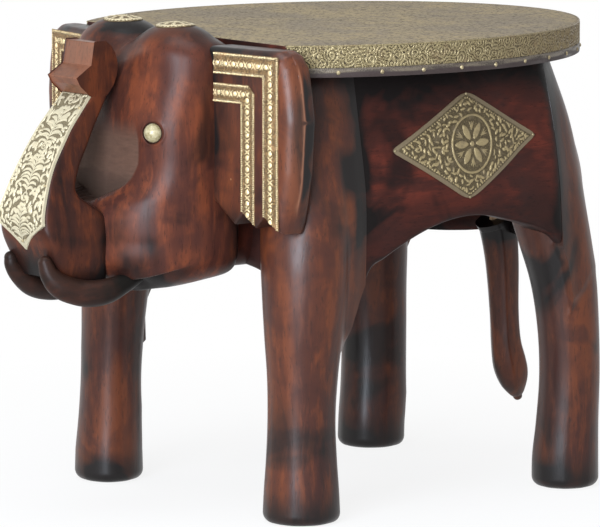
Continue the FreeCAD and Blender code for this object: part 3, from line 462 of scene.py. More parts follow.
# %% [markdown]
# ## Embossed brass
# Thin brass is hammered over carved dies. Its raised parts are rubbed bright, and dark
# patina stays in the hollows. Each sheet here has its real relief in its mesh, with the
# height kept in a field called relief, and the material reads it: high is bright and
# smooth, low is dark and dull. A second field, plain, marks dull undecorated borders, and
# fine winding lines, cut from the waves of a noise, fill the ground between the leaves.

# %% Group for embossed brass
brass_group, given, made = new_group(
    "embossed_brass",
    [("Place", "NodeSocketVector", None), ("Relief", "NodeSocketFloat", 0.5),
     ("Ground", "NodeSocketColor", (0.2, 0.16, 0.08, 1)),
     ("Hollow", "NodeSocketColor", (0.05, 0.035, 0.015, 1)),
     ("Bright", "NodeSocketColor", (0.8, 0.7, 0.45, 1)),
     ("Tarnish", "NodeSocketColor", (0.4, 0.25, 0.1, 1)),
     ("Plain", "NodeSocketFloat", 0.0), ("Worm Size", "NodeSocketFloat", 230.0),
     ("Worm Share", "NodeSocketFloat", 0.3)],
    [("Colour", "NodeSocketColor"), ("Roughness", "NodeSocketFloat"), ("Height", "NodeSocketFloat")])
fine = noise(brass_group, given.outputs["Place"], 900.0, 3.0, 0.6)
spots = noise(brass_group, given.outputs["Place"], 160.0, 3.0, 0.6)
areas = noise(brass_group, given.outputs["Place"], 30.0, 2.0, 0.5)
winding = add_node(brass_group, "ShaderNodeTexNoise", {"Vector": given.outputs["Place"], "Detail": 1.0,
                                                       "Scale": given.outputs["Worm Size"]})
waves = maths(brass_group, "COSINE", maths(brass_group, "MULTIPLY", winding.outputs["Fac"], 50.0))
worms = maths(brass_group, "ADD", maths(brass_group, "MULTIPLY", waves, 0.5), 0.5)
not_plain = maths(brass_group, "SUBTRACT", 1.0, given.outputs["Plain"], True)
worms = maths(brass_group, "MULTIPLY", maths(brass_group, "MULTIPLY", worms, given.outputs["Worm Share"]),
              not_plain)
uneven = maths(brass_group, "ADD", maths(brass_group, "ADD", given.outputs["Relief"], worms),
               maths(brass_group, "MULTIPLY", maths(brass_group, "SUBTRACT", fine, 0.5), 0.3))
flank = from_range(brass_group, uneven, 0.0, 0.16)
raised = from_range(brass_group, uneven, 0.3, 0.8)
metal = blend_colours(brass_group, flank, given.outputs["Ground"], given.outputs["Hollow"])
metal = blend_colours(brass_group, raised, metal, given.outputs["Bright"])
dull = maths(brass_group, "MULTIPLY", from_range(brass_group, spots, 0.48, 0.7),
             from_range(brass_group, areas, 0.4, 0.62))
dulled = maths(brass_group, "ADD", maths(brass_group, "MULTIPLY", dull, 0.55), given.outputs["Plain"], True)
metal = blend_colours(brass_group, dulled, metal, given.outputs["Tarnish"])
rough = maths(brass_group, "ADD", from_range(brass_group, raised, 0.0, 1.0, 0.6, 0.36),
              maths(brass_group, "MULTIPLY", dull, 0.15))
brass_group.links.new(metal, made.inputs["Colour"])
brass_group.links.new(rough, made.inputs["Roughness"])
brass_group.links.new(maths(brass_group, "ADD", maths(brass_group, "MULTIPLY", fine, 0.4), worms),
                      made.inputs["Height"])
print("group", brass_group.name, "has", len(brass_group.nodes), "nodes")

# %% Brasses
def brass(name, ground, hollow, bright, tarnish, metallic=0.7, worms=(230.0, 0.3)):
    """Embossed brass with its own tones for flat ground, hollows, raised parts and tarnish."""
    material, tree = new_material(name)
    place = add_node(tree, "ShaderNodeTexCoord").outputs["Object"]
    sheet = add_node(tree, "ShaderNodeGroup", node_tree=brass_group)
    tree.links.new(place, sheet.inputs["Place"])
    tree.links.new(field(tree, "relief"), sheet.inputs["Relief"])
    for label, colour in (("Ground", ground), ("Hollow", hollow), ("Bright", bright), ("Tarnish", tarnish)):
        sheet.inputs[label].default_value = (*colour, 1.0)
    tree.links.new(field(tree, "plain"), sheet.inputs["Plain"])
    sheet.inputs["Worm Size"].default_value, sheet.inputs["Worm Share"].default_value = worms
    bump = add_node(tree, "ShaderNodeBump", {"Height": sheet.outputs["Height"], "Strength": 0.6,
                                             "Distance": 0.0005})
    skin = add_node(tree, "ShaderNodeBsdfPrincipled", {
        "Base Color": sheet.outputs["Colour"], "Roughness": sheet.outputs["Roughness"],
        "Metallic": metallic, "Normal": bump.outputs[0]})
    add_node(tree, "ShaderNodeOutputMaterial", {"Surface": skin.outputs[0]})
    return material


trunk_brass = brass("trunk_brass", (0.265, 0.22, 0.13), (0.11, 0.088, 0.05), (0.53, 0.475, 0.33),
                    (0.38, 0.32, 0.2), 0.5, (330.0, 0.3))
ear_brass = brass("ear_brass", (0.36, 0.23, 0.10), (0.085, 0.048, 0.022), (0.80, 0.64, 0.36),
                  (0.45, 0.27, 0.13), 0.6, (260.0, 0.4))
plate_brass = brass("plate_brass", (0.16, 0.12, 0.06), (0.065, 0.048, 0.025), (0.315, 0.245, 0.125),
                    (0.20, 0.155, 0.095), 0.6, (260.0, 0.4))
edge_brass = brass("edge_brass", (0.075, 0.058, 0.030), (0.030, 0.022, 0.011), (0.29, 0.235, 0.12),
                   (0.17, 0.115, 0.06), 0.5, (215.0, 1.0))
trim_brass = brass("trim_brass", (0.10, 0.078, 0.055), (0.05, 0.038, 0.03), (0.15, 0.12, 0.085),
                   (0.036, 0.023, 0.021), 0.25, (260.0, 0.3))
cap_brass = brass("cap_brass", (0.24, 0.18, 0.09), (0.07, 0.045, 0.02), (0.62, 0.53, 0.34), (0.4, 0.29, 0.16),
                  0.6, (260.0, 0.4))
print("brasses:", [metal.name for metal in (trunk_brass, ear_brass, plate_brass, edge_brass, trim_brass, cap_brass)])

# %% [markdown]
# ## Hammered seat sheet
# The seat top is so finely worked that it reads as a speckled khaki cloth. Cells a few
# millimetres wide give the hammered dimples, and two sizes of noise give dark specks and
# slow changes from grey to gold. All of it is in the finish, for the sheet is flat.

# %% Seat sheet finish
seat_brass, tree = new_material("seat_brass")
place = add_node(tree, "ShaderNodeTexCoord").outputs["Object"]
cells = add_node(tree, "ShaderNodeTexVoronoi", {"Vector": place, "Scale": 300.0, "Randomness": 1.0},
                 feature="F1")
specks = noise(tree, place, 330.0, 3.0, 0.7)
blotches = noise(tree, place, 14.0, 4.0, 0.6, 0.6)
mottle = noise(tree, place, 90.0, 3.0, 0.6)
tone = blend_colours(tree, from_range(tree, blotches, 0.36, 0.64), (0.235, 0.19, 0.128, 1.0),
                     (0.31, 0.243, 0.14, 1.0))
tone = blend_colours(tree, from_range(tree, mottle, 0.45, 0.7, 0.0, 0.5), tone, (0.19, 0.155, 0.125, 1.0))
dark_specks = maths(tree, "MULTIPLY", from_range(tree, specks, 0.47, 0.64),
                    from_range(tree, cells.outputs["Distance"], 0.2, 0.7, 0.45, 1.0))
tone = blend_colours(tree, maths(tree, "MULTIPLY", dark_specks, 0.9), tone, (0.05, 0.038, 0.027, 1.0))
bump = add_node(tree, "ShaderNodeBump", {"Height": cells.outputs["Distance"], "Strength": 0.5,
                                         "Distance": 0.0006})
skin = add_node(tree, "ShaderNodeBsdfPrincipled", {"Base Color": tone, "Roughness": 0.7, "Metallic": 0.12,
                                                   "Specular IOR Level": 0.16, "Normal": bump.outputs[0]})
add_node(tree, "ShaderNodeOutputMaterial", {"Surface": skin.outputs[0]})
print(seat_brass.name, "has", len(tree.nodes), "nodes")

# %% [markdown]
# ## Plain finishes
# The eye studs are pale brass with a soft shine, the tack heads are plain brass, the
# screws are steel, the dowels bare wood and the seat's board is lacquered. Their CAD
# nodes have the right shape and stay, so they only get a finish. A small noise keeps
# each alive.

# %% Finishes for the CAD pieces that stay
def plain(name, low, high, scale, rough, metallic):
    """A finish whose colour and roughness wander between two values with a noise."""
    material, tree = new_material(name)
    place = add_node(tree, "ShaderNodeTexCoord").outputs["Object"]
    wander = noise(tree, place, scale, 4.0, 0.6)
    tone = blend_colours(tree, from_range(tree, wander, 0.35, 0.65), (*low, 1.0), (*high, 1.0))
    bump = add_node(tree, "ShaderNodeBump", {"Height": wander, "Strength": 0.15, "Distance": 0.0003})
    skin = add_node(tree, "ShaderNodeBsdfPrincipled", {
        "Base Color": tone, "Roughness": from_range(tree, wander, 0.3, 0.7, *rough),
        "Metallic": metallic, "Normal": bump.outputs[0]})
    add_node(tree, "ShaderNodeOutputMaterial", {"Surface": skin.outputs[0]})
    return material


eye_finish = plain("eye_cream", (0.25, 0.205, 0.10), (0.41, 0.355, 0.215), 300.0, (0.25, 0.36), 0.1)
tack_finish = plain("tack_brass", (0.2, 0.155, 0.085), (0.42, 0.345, 0.2), 500.0, (0.35, 0.5), 0.6)
screw_finish = plain("screw_steel", (0.42, 0.42, 0.41), (0.6, 0.6, 0.58), 400.0, (0.3, 0.45), 1.0)
dowel_finish = plain("dowel_wood", (0.3, 0.18, 0.09), (0.5, 0.33, 0.19), 150.0, (0.55, 0.7), 0.0)
FINISHES = {"eye_left": eye_finish, "eye_right": eye_finish, "seat_edge_tacks": tack_finish,
            "seat_screws": screw_finish, "panel_dowels": dowel_finish, "tail_dowel": dowel_finish,
            "head_dowels": dowel_finish, "ear_dowels": dowel_finish, "seat_board": level_wood}
for node_name, finish in FINISHES.items():
    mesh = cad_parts[node_name].data
    mesh.materials.clear()
    mesh.materials.append(finish)
print("finished", len(FINISHES), "CAD nodes")

# %% [markdown]
# ## The round of the body
# The body is one soft round that flows into four legs. It is written as a distance: a
# flattened oval barrel, its rump fuller than its chest, and four upright columns, joined
# with a rounded minimum so that no crease is left between them. The minimum is rounded
# more widely along the flanks, where the carver left the wood full. Posts and panels are
# then read off that one shape, and so they meet without a step.

# %% Barrel and columns
BARREL = [(141.7, 155.7, 154.0, 5.0, 149.0), (150, 158, 168, 5.0, 150), (185, 163, 188, 3.2, 150),
          (220, 163, 198, 2.5, 150), (262, 160.5, 196, 2.35, 149), (300, 152, 185.5, 2.3, 146),
          (354.2, 139, 163.5, 2.3, 140)]
BARREL_MIDDLE, CHEST_ROUND, WALL = 10.0, 3.0, 32.0
BARREL_BOTTOM, RUMP_RISE, BOTTOM_SOFTNESS = 154.0, 30.0, 8.0
FRONT_LEG = [(0, 31.3, 129, -137), (24, 30.2, 129, -137), (50, 28.4, 129, -137), (80, 27.2, 129, -137),
             (115, 28.2, 129, -136), (150, 31.3, 128.5, -134.5), (185, 34.5, 127.5, -132),
             (215, 36, 125.5, -130), (262, 36, 118, -122), (300, 35, 110, -115), (354.2, 33, 100, -106)]
HIND_LEG = [(0, 27.5, 129, 137), (24, 27.2, 129, 137), (50, 25.8, 129.8, 138), (95, 24.8, 131, 139.4),
            (140, 25.6, 130.3, 137.4), (170, 27.3, 128.4, 134.3), (200, 29.8, 125, 128.6),
            (230, 32.0, 120.5, 123), (262, 33.4, 114, 119), (300, 36.0, 106, 112), (354.2, 30.5, 96, 103)]
JOIN, FLANK_JOIN = 11.0, 24.0


def barrel_distance(x, y, z, inset=0.0):
    """Distance outside the barrel: how far a point is from its middle, times 1 - 1/s,
    where s = (|x/a|^n + |y/b|^n)^(1/n) is 1 on the surface. Below the barrel, whose rump
    ends higher than its chest, it grows softly, by t^2 / (t + 8) for a point t too low.
    An inset makes the barrel that much smaller, for the inner side of the wall."""
    rows = follow(BARREL, z)
    behind = y > BARREL_MIDDLE
    wide = rows[..., 0] - inset
    long = np.where(behind, rows[..., 1], rows[..., 3]) - inset
    power = np.where(behind, rows[..., 2], CHEST_ROUND)
    s = ((np.abs(x) / wide) ** power + (np.abs(y - BARREL_MIDDLE) / long) ** power) ** (1 / power)
    s = np.maximum(s, 1e-3)
    rump = soft_step(110, 150, y)
    short = np.maximum(BARREL_BOTTOM + RUMP_RISE * rump - z, 0.0)
    below = short**2 / (short + BOTTOM_SOFTNESS)
    return np.hypot(x, y - BARREL_MIDDLE) * (1 - 1 / s) + below * (0.6 + 0.6 * rump)


def column_distance(x, y, z, leg):
    """Distance outside one round leg column, whichever side of the stool the point is on."""
    rows = follow(leg, z)
    return np.hypot(np.abs(x) - rows[..., 1], y - rows[..., 2]) - rows[..., 0]


def body_distance(x, y, z):
    """Rounded minimum of the barrel and the front and hind columns, wider on the flanks."""
    barrel = barrel_distance(x, y, z)
    wide = JOIN + FLANK_JOIN * soft_step(128, 98, np.abs(y))
    joined = soft_min(barrel, column_distance(x, y, z, FRONT_LEG), wide)
    return soft_min(joined, column_distance(x, y, z, HIND_LEG), wide)


def reach(distance, start, way, far, steps=26):
    """How far each ray runs inside a shape: the span to the surface is halved again and again."""
    low, high = np.zeros(way.shape[:-1]), np.full(way.shape[:-1], float(far))
    for _ in range(steps):
        middle = (low + high) / 2
        point = start + way * middle[..., None]
        inside = distance(point[..., 0], point[..., 1], point[..., 2]) < 0
        low, high = np.where(inside, middle, low), np.where(inside, high, middle)
    return (low + high) / 2


print("body half width at the plates:",
      round(float(reach(body_distance, np.array([60.0, 10.0, 291.0]), np.array([[1.0, 0, 0]]), 200)[0]) + 60, 1))

# %% [markdown]
# ## Leg posts
# A leg post is the upright corner of the ring. Each level cut through it is seen whole
# from the column's middle, so one radius for each direction draws it: the farther of the
# round column and the corner of the wall. The wall ends at two flat joints and fades
# away where the arches begin. Some directions aim exactly at its corners, to keep them crisp.

# %% Arches
SIDE_ARCH = [(-104, 138), (-99, 160), (-94.5, 176), (-90, 187.5), (-85.8, 195.5), (-70, 207.5), (-50.5, 219.5),
             (-25, 230), (8.4, 235.5), (61.9, 226.5), (94, 216), (105.7, 208), (114, 190), (122, 150)]
RUMP_ARCH = [(-97.9, 188), (-61.2, 189), (-44, 190.5), (0, 195), (44, 190.5), (61.2, 189), (97.9, 188)]
CHEST_ARCH = [(-97.9, 188), (-88, 189), (-61.2, 196), (0, 200), (61.2, 196), (88, 189), (97.9, 188)]
# The end walls' feet on the posts: most slope down far, and one ends steeply.
SLOPED_FOOT = [(122.4, 142), (116, 160), (108, 175), (97.9, 185), (88, 189)]
STEEP_FOOT = [(122.4, 184), (110.2, 186.5), (97.9, 188), (88, 188.4)]
FRONT_JOINT, HIND_JOINT = (88.0, -90.0), (90.0, 108.0)
TOP_OF_BODY = 354.2
LOWEST_WALL = 142.0


def arch_place(arch, z, side):
    """How far out an arch's foot stands at a height, on the side of +1 or -1."""
    rows = np.array([(height, place) for place, height in arch if place * side > 0])
    rows = rows[np.argsort(rows[:, 0])]
    return np.interp(z, rows[:, 0], rows[:, 1])


print("top of the side arch:", max(height for _, height in SIDE_ARCH), "mm above the floor")


# %% Outline of a post
def on_ray(start, way, distance, far):
    """Points where rays from start leave a shape."""
    return start + way * reach(distance, start, way, far)[..., None]


def post_points(leg, joint, end_foot, foot_round=8.0):
    """Grid of a left leg post: rows climb from the floor and columns turn about its column."""
    z = np.concatenate([np.linspace(0, foot_round, 7), np.arange(9.0, LOWEST_WALL, 4.0),
                        np.arange(LOWEST_WALL, 240.0, 1.0), np.linspace(240.0, TOP_OF_BODY, 36)])
    column, centre = follow(leg, z)[:, 0:1], follow(leg, z)[:, 1:3]
    back = np.sign(joint[1])
    wall_z = np.maximum(z, LOWEST_WALL)
    edge_x = np.maximum(joint[0], arch_place(end_foot, wall_z, 1))
    edge_y = back * np.maximum(abs(joint[1]), np.abs(arch_place(SIDE_ARCH, wall_z, back)))
    inner_corner = np.stack([edge_x, edge_y, z], axis=-1)
    side_corner = on_ray(inner_corner, np.array([[1.0, 0.0, 0.0]]), body_distance, 120.0)
    end_corner = on_ray(inner_corner, np.array([[0.0, back, 0.0]]), body_distance, 120.0)
    marks = [np.arctan2(-back * (corner[:, 1] - centre[:, 1]), corner[:, 0] - centre[:, 0])
             for corner in (side_corner, inner_corner, end_corner)]
    marks = [marks[0]] + [marks[0] + (mark - marks[0]) % (2 * np.pi) for mark in marks[1:]]
    turn = np.concatenate([start[:, None] + (end - start)[:, None] * np.arange(count) / count
                           for start, end, count in ((marks[0], marks[1], 24), (marks[1], marks[2], 24),
                                                     (marks[2], marks[0] + 2 * np.pi, 108))], axis=1)
    way = np.stack([np.cos(turn), -back * np.sin(turn), np.zeros_like(turn)], axis=-1)
    middle = np.concatenate([centre, z[:, None]], axis=1)[:, None, :] + np.zeros_like(way)
    outer = reach(body_distance, middle, way, 110.0)
    inner = reach(lambda x, y, z: -barrel_distance(x, y, z, WALL), middle, way, 110.0)
    with np.errstate(divide="ignore", invalid="ignore"):
        to_x = np.where(way[..., 0] < -1e-6, (edge_x[:, None] - middle[..., 0]) / way[..., 0], 1e3)
        to_y = np.where(way[..., 1] * back < -1e-6, (edge_y[:, None] - middle[..., 1]) / way[..., 1], 1e3)
    corner = np.minimum(np.minimum(outer, inner), np.minimum(np.maximum(to_x, 0), np.maximum(to_y, 0)))
    radius = np.maximum(column, corner)
    height = middle[..., 2]
    facets = 1 - 0.012 * np.abs(np.sin(4 * turn + 0.4)) * soft_step(170, 60, height)
    lifted = np.clip(1 - height / foot_round, 0, 1)
    rounding = foot_round * (1 - np.sqrt(1 - lifted**2))
    return middle + way * (radius * facets - rounding)[..., None]


# %% Shade and glow on a post
def blot(u, v, middle, size):
    """A soft oval spot: exp(-(du/a)^4 - (dv/b)^4)."""
    return np.exp(-((u - middle[0]) / size[0]) ** 4 - ((v - middle[1]) / size[1]) ** 4)


def post_fields(points, joint):
    """Shade darkens the joints, the foot, the top and a few spots, and glow warms others."""
    y, z = points[..., 1], points[..., 2]
    near_joint = np.exp(-((y - joint[1]) / 5.0) ** 2) * soft_step(215, 262, z)
    shade = 0.75 * near_joint + 0.8 * soft_step(34, 6, z) + 0.7 * soft_step(326, 350, z)
    shade = shade + 0.4 * soft_step(20, 4, np.abs(y - joint[1])) + 0.6 * soft_step(290, 335, z) * (joint[1] > 0)
    shade = shade + blot(y, z, (-105, 277), (10, 18)) + 0.6 * blot(y, z, (-98, 240), (4, 26))
    glow = 0.3 * np.exp(-((z - 200) / 70.0) ** 2) + 0.1 * soft_step(40, 90, z)
    glow = glow + 0.9 * blot(y, z, (-113, 318), (6, 20)) + 0.8 * blot(y, z, (-112, 248), (6, 14))
    return {"shade": shade, "glow": glow}


# %% Make the four posts
# The far legs are a little off the near ones' mirror image, so their two sides are moved
# along one level direction, which is the one that shows most from the front left.
ACROSS = np.array([0.614, 0.789])


def widened(points, middle, shifts):
    """A right leg with its two sides moved along one level direction, below the body.

    Rows of shifts are (height, shift of the first side, shift of the second side), and
    the shift eases from one to the other across the leg.
    """
    moved = points.copy()
    z = points[..., 2]
    rows = np.array(shifts)
    first, second = (np.interp(z, rows[:, 0], rows[:, column]) for column in (1, 2))
    share = soft_step(-27, 27, (points[..., :2] - middle) @ ACROSS)
    shift = (first + (second - first) * share) * soft_step(225, 190, z)
    moved[..., :2] += ACROSS * shift[..., None]
    return moved


WIDENED = {"leg_front_right": ((-129, -136), [(0, 2.4, -3.4), (25, 2.0, -2.9), (60, 3.0, -0.8), (110, 4.2, -0.6),
                                              (150, 6.6, -1.6), (200, 7.0, -1.8)]),
           "leg_hind_right": ((-129, 138), [(0, 0.4, 2.8), (20, 0.8, 3.4), (45, 0.8, 6.0), (110, 0.4, 6.8),
                                            (220, 0.2, 7.4)])}
for place, leg, joint in (("front", FRONT_LEG, FRONT_JOINT), ("hind", HIND_LEG, HIND_JOINT)):
    for side, sign in (("left", 1), ("right", -1)):
        name = f"leg_{place}_{side}"
        points = post_points(leg, joint, STEEP_FOOT if name == "leg_hind_right" else SLOPED_FOOT)
        fields = post_fields(points, joint)
        placed = points * (sign, 1, 1)
        if name in WIDENED:
            placed = widened(placed, *WIDENED[name])
        mesh = round_mesh(f"{name}_post", placed, fields)
        show(f"{name}_post", mesh, [name], upright_wood)

# %% [markdown]
# ## Panels between the posts
# Each panel is a curved board: its outer face is read off the body, its inner face lies
# a wall's thickness inside, and its lower edge is the arch. A closed profile goes down
# the outer face, round the arch's edge and up the inner face, and it is carried from
# one joint to the other.

# %% Panel profiles
def panel_points(along, arch, side, axis):
    """Grid of a panel: one closed upright profile for each step along it.

    The outer face is where rays from the inside leave the body, and the inner face is where
    they enter the wall. Both are eased into each other round the lower edge.
    """
    along = np.asarray(along)
    low = follow(arch, along)[:, 0]
    down = np.concatenate([np.linspace(1, 0.06, 50), np.linspace(0.05, 0, 12)])
    shares = np.concatenate([down, down[::-1][::2]])
    outside = np.concatenate([np.ones(len(down)), np.zeros(len(down) // 2)])
    along_grid, share_grid = np.meshgrid(along, shares, indexing="ij")
    z = low[:, None] + (TOP_OF_BODY - low[:, None]) * share_grid
    start = np.zeros(z.shape + (3,))
    start[..., 1 - axis] = along_grid
    start[..., 2] = z
    if axis == 1:
        start[..., 1] = BARREL_MIDDLE
    way = np.zeros_like(start)
    way[..., axis] = side
    outer = reach(body_distance, start, way, 230.0)
    inner = reach(lambda x, y, z: barrel_distance(x, y, z, WALL), start, way, 230.0)
    easing = 4.0 * np.exp(-(z - low[:, None]) / 2.5)
    from_joint = np.minimum(along - along[0], along[-1] - along)
    easing = easing + 0.3 * np.exp(-from_joint / 0.6)[:, None]
    span = np.where(outside > 0, outer - easing, inner + easing)
    return start + way * span[..., None]


def panel_fields(points, joints, axis):
    """Shade darkens the joints, the top and the lower edge, and glow warms the upper front."""
    along, z = points[..., 1 - axis], points[..., 2]
    shade = sum(0.7 * np.exp(-((along - place) / 6.0) ** 2) * soft_step(205, 250, z) for place in joints)
    shade = shade + 0.9 * soft_step(318, 346, z) + 0.45 * soft_step(262, 236, z)
    shade = shade + blot(along, z, (-95, 277), (11, 17)) * (axis == 0)
    glow = 0.6 * np.exp(-(((along + 46) / 42.0) ** 2 + ((z - 300) / 20.0) ** 2))
    glow = glow + 0.12 * np.exp(-((z - 250) / 14.0) ** 2)
    return {"shade": shade, "glow": glow}


# %% Make the four panels
def joint_to_joint(low, high, count=110):
    """Steps from one joint to the other, a hair inside both, and closer together at the ends."""
    ends = np.array([0.15, 0.5, 1.1])
    return np.concatenate([low + ends, np.linspace(low + 2.2, high - 2.2, count), high - ends[::-1]])


side_points = panel_points(joint_to_joint(FRONT_JOINT[1], HIND_JOINT[1]), SIDE_ARCH, 1, 0)
side_fields = panel_fields(side_points, (FRONT_JOINT[1], HIND_JOINT[1]), 0)
for side, sign in (("left", 1), ("right", -1)):
    name = f"side_panel_{side}"
    show(f"{name}_board", round_mesh(f"{name}_board", side_points * (sign, 1, 1), side_fields, 40.0),
         [name], level_wood)
for name, half, sign, arch in (("chest_panel", FRONT_JOINT[0], -1, CHEST_ARCH),
                               ("rump_panel", HIND_JOINT[0], 1, RUMP_ARCH)):
    points = panel_points(joint_to_joint(-half, half), arch, sign, 1)
    fields = panel_fields(points, (-half, half), 1)
    show(f"{name}_board", round_mesh(f"{name}_board", points, fields, 40.0), [name],
         cross_wood)

# %% [markdown]
# ## Head
# The head is one carved block: broad cheeks, a heavy jaw, a hollowed face behind the
# trunk and two domes on top. From a point inside it every part of its skin is in view,
# so one radius for each direction draws all of it. The skin is where a distance made of
# a few rounded forms is zero, and small carved lines move it in or out a little.

# %% Forms of the head
HEAD_ROWS = [(184, 60, -240, 2.4), (192, 70, -254, 2.3), (200, 77, -262, 2.2), (225, 82, -265, 2.15),
             (243, 82, -263.5, 2.2), (254, 82, -258, 2.35), (262, 82, -249, 2.7), (270, 82, -243.5, 2.9),
             (320, 82, -238, 2.9), (350, 81, -231, 2.45), (376, 78, -219, 2.3)]
HEAD_MIDDLE = np.array([0.0, -200.0, 285.0])
HEAD_BACK, HEAD_CENTRE_LINE = -156.0, -186.0
DOME_MIDDLE, DOME_SIZE = np.array([36.0, -190.0, 366.5]), np.array([39.0, 34.0, 26.0])
EYE = np.array([58.0, -228.5, 309.5])


def head_distance(x, y, z):
    """Distance outside the head: an upright rounded block, cut by the jaw's slope below and
    the crown above, joined with two domes."""
    rows = follow(HEAD_ROWS, z)
    ahead = HEAD_CENTRE_LINE - y
    long = np.where(ahead > 0, HEAD_CENTRE_LINE - rows[..., 1], HEAD_BACK - HEAD_CENTRE_LINE)
    power = np.where(ahead > 0, rows[..., 2], 7.0)
    s = ((np.abs(x) / rows[..., 0]) ** power + (np.abs(ahead) / long) ** power) ** (1 / power)
    block = np.hypot(x, ahead) * (1 - 1 / np.maximum(s, 1e-3))
    jaw = (179.5 + (y + 236) * 0.18) - z
    crown = z - 376.0
    block = soft_max(soft_max(block, jaw, 11.0), crown, 16.0)
    dome = (np.abs(x) - DOME_MIDDLE[0], y - DOME_MIDDLE[1], z - DOME_MIDDLE[2])
    t = np.sqrt(sum((part / size) ** 2 for part, size in zip(dome, DOME_SIZE)))
    domes = (t - 1) * 28.0
    return soft_min(block, domes, 8.0)


print("head half width at the eyes:", round(float(follow(HEAD_ROWS, EYE[2:])[0, 0]), 1), "mm")


# %% Lines and outlines
def line_distance(points, start, end):
    """Distance from points to a straight line between two points."""
    start, end = np.asarray(start, float), np.asarray(end, float)
    run = end - start
    share = np.clip(((points - start) @ run) / (run @ run), 0, 1)
    return np.linalg.norm(points - (start + share[..., None] * run), axis=-1)


def crowded(low, high, count, crowds):
    """Values from low to high, closer together round each centre in rows (centre, width, strength)."""
    fine = np.linspace(low, high, 3001)
    density = 1 + sum(strength * np.exp(-((fine - centre) / width) ** 2) for centre, width, strength in crowds)
    total = np.concatenate([[0], np.cumsum((density[1:] + density[:-1]) / 2)])
    return np.interp(np.linspace(0, total[-1], count), total, fine)


def inside_outline(u, v, outline):
    """Distance to an outline, positive inside it. A point is inside when a level ray from it
    crosses the outline an odd number of times."""
    corners = np.asarray(outline, dtype=float)
    nearest, crossings = np.full(u.shape, 1e9), np.zeros(u.shape, dtype=int)
    for (u0, v0), (u1, v1) in zip(corners, np.roll(corners, -1, axis=0)):
        run = np.array([u1 - u0, v1 - v0])
        share = np.clip(((u - u0) * run[0] + (v - v0) * run[1]) / (run @ run), 0, 1)
        nearest = np.minimum(nearest, np.hypot(u - u0 - share * run[0], v - v0 - share * run[1]))
        crosses = ((v0 > v) != (v1 > v)) & (u < u0 + (v - v0) / (v1 - v0 + 1e-12) * run[0])
        crossings += crosses
    return np.where(crossings % 2 == 1, nearest, -nearest)


# %% Skin of the head
eye_turn, front_turn = 1.117, -np.pi / 2
around = crowded(front_turn - np.pi, front_turn + np.pi, 401,
                 [(front_turn - eye_turn, 0.3, 1.6), (front_turn + eye_turn, 0.3, 1.6), (front_turn, 0.6, 0.5)])[:-1]
climb = crowded(-np.pi / 2, np.pi / 2, 236, [(0.363, 0.2, 1.2), (-0.86, 0.16, 1.3)])[1:-1]
climb_grid, around_grid = np.meshgrid(climb, around, indexing="ij")
way = np.stack([np.cos(climb_grid) * np.cos(around_grid), np.cos(climb_grid) * np.sin(around_grid),
                np.sin(climb_grid)], axis=-1)
skin = on_ray(HEAD_MIDDLE, way, head_distance, 150.0)
print("head skin:", skin.shape[0], "rows of", skin.shape[1], "points")

# %% Eye sockets, lids and lips
left_skin = skin * np.where(skin[..., :1] < 0, (-1, 1, 1), (1, 1, 1))
from_eye = np.linalg.norm(left_skin - EYE, axis=-1)
socket = -1.6 * np.exp(-((from_eye - 8.3) / 0.7) ** 2) + 0.6 * np.exp(-((from_eye - 10.2) / 1.3) ** 2)
eye_corner = line_distance(left_skin, EYE + (5, 5, 6.5), EYE + (8, 8, 9.5))
lid = -1.3 * np.exp(-(eye_corner / 0.9) ** 2)
lip_height = 187.5 + (skin[..., 1] + 257.0) * 0.35
lip_share = soft_step(-211, -236, skin[..., 1]) * soft_step(36, 50, left_skin[..., 0])
below_lip = soft_step(0.7, -0.7, skin[..., 2] - lip_height)
lip = (1.2 * np.exp(-((skin[..., 2] - lip_height - 3.0) / 3.0) ** 2) - 5.0 * below_lip) * lip_share
skin = skin + way * (socket + lid + lip)[..., None]
skin[..., 1] = np.minimum(skin[..., 1], HEAD_BACK)
print("the lip stands out by", round(float(lip.max()), 1), "mm")

# %% Sawn hollow in the face
SAWN_OUTLINE = [(0, 250.5), (13, 253), (23, 259), (34, 264.2), (42.5, 271.4), (47, 284.4), (47.3, 304),
                (43.5, 318), (34, 323.5), (16, 325), (0, 325)]
SAWN_PLANE, FACE_BACK = -240.5, -215.0
x, y, z = np.abs(skin[..., 0]), skin[..., 1], skin[..., 2]
in_hollow = np.where(y < FACE_BACK, inside_outline(x, z, SAWN_OUTLINE), -50.0)
# The outline's straight side is the middle of the face, where the hollow has no edge.
near_middle = (x < 8) & (y < FACE_BACK) & (z > 252) & (z < 327)
in_hollow = np.where(near_middle, np.maximum(in_hollow, 6), in_hollow)
flat = soft_step(0.0, 1.6, in_hollow)
skin[..., 1] = y + (np.maximum(y, SAWN_PLANE) - y) * flat
head_fields = {
    "sawn": flat * soft_step(322, 300, z),
    "shade": 0.9 * soft_step(378, 388, z) * soft_step(26, 8, x) + 0.6 * below_lip * soft_step(-200, -214, y)
    + 0.8 * np.exp(-((from_eye - 8.2) / 0.9) ** 4) + 0.7 * flat * soft_step(286, 262, z)
    + 0.6 * soft_step(-182, -164, y) * soft_step(300, 240, z)
    + 0.5 * soft_step(374, 388, z) + 0.3 * soft_step(300, 330, z) * soft_step(40, 20, x),
    "glow": 0.3 * soft_step(-232, -205, y) * soft_step(280, 320, z) + 0.1 * soft_step(30, 55, x)}
show("head_block_carving", round_mesh("head_block_carving", skin, head_fields, 50.0), ["head_block"],
     head_wood)

# %% [markdown]
# ## Neck
# A short block joins the head to the chest. Its section is a rounded rectangle, written
# as a superellipse, carried from the back of the head into the chest.

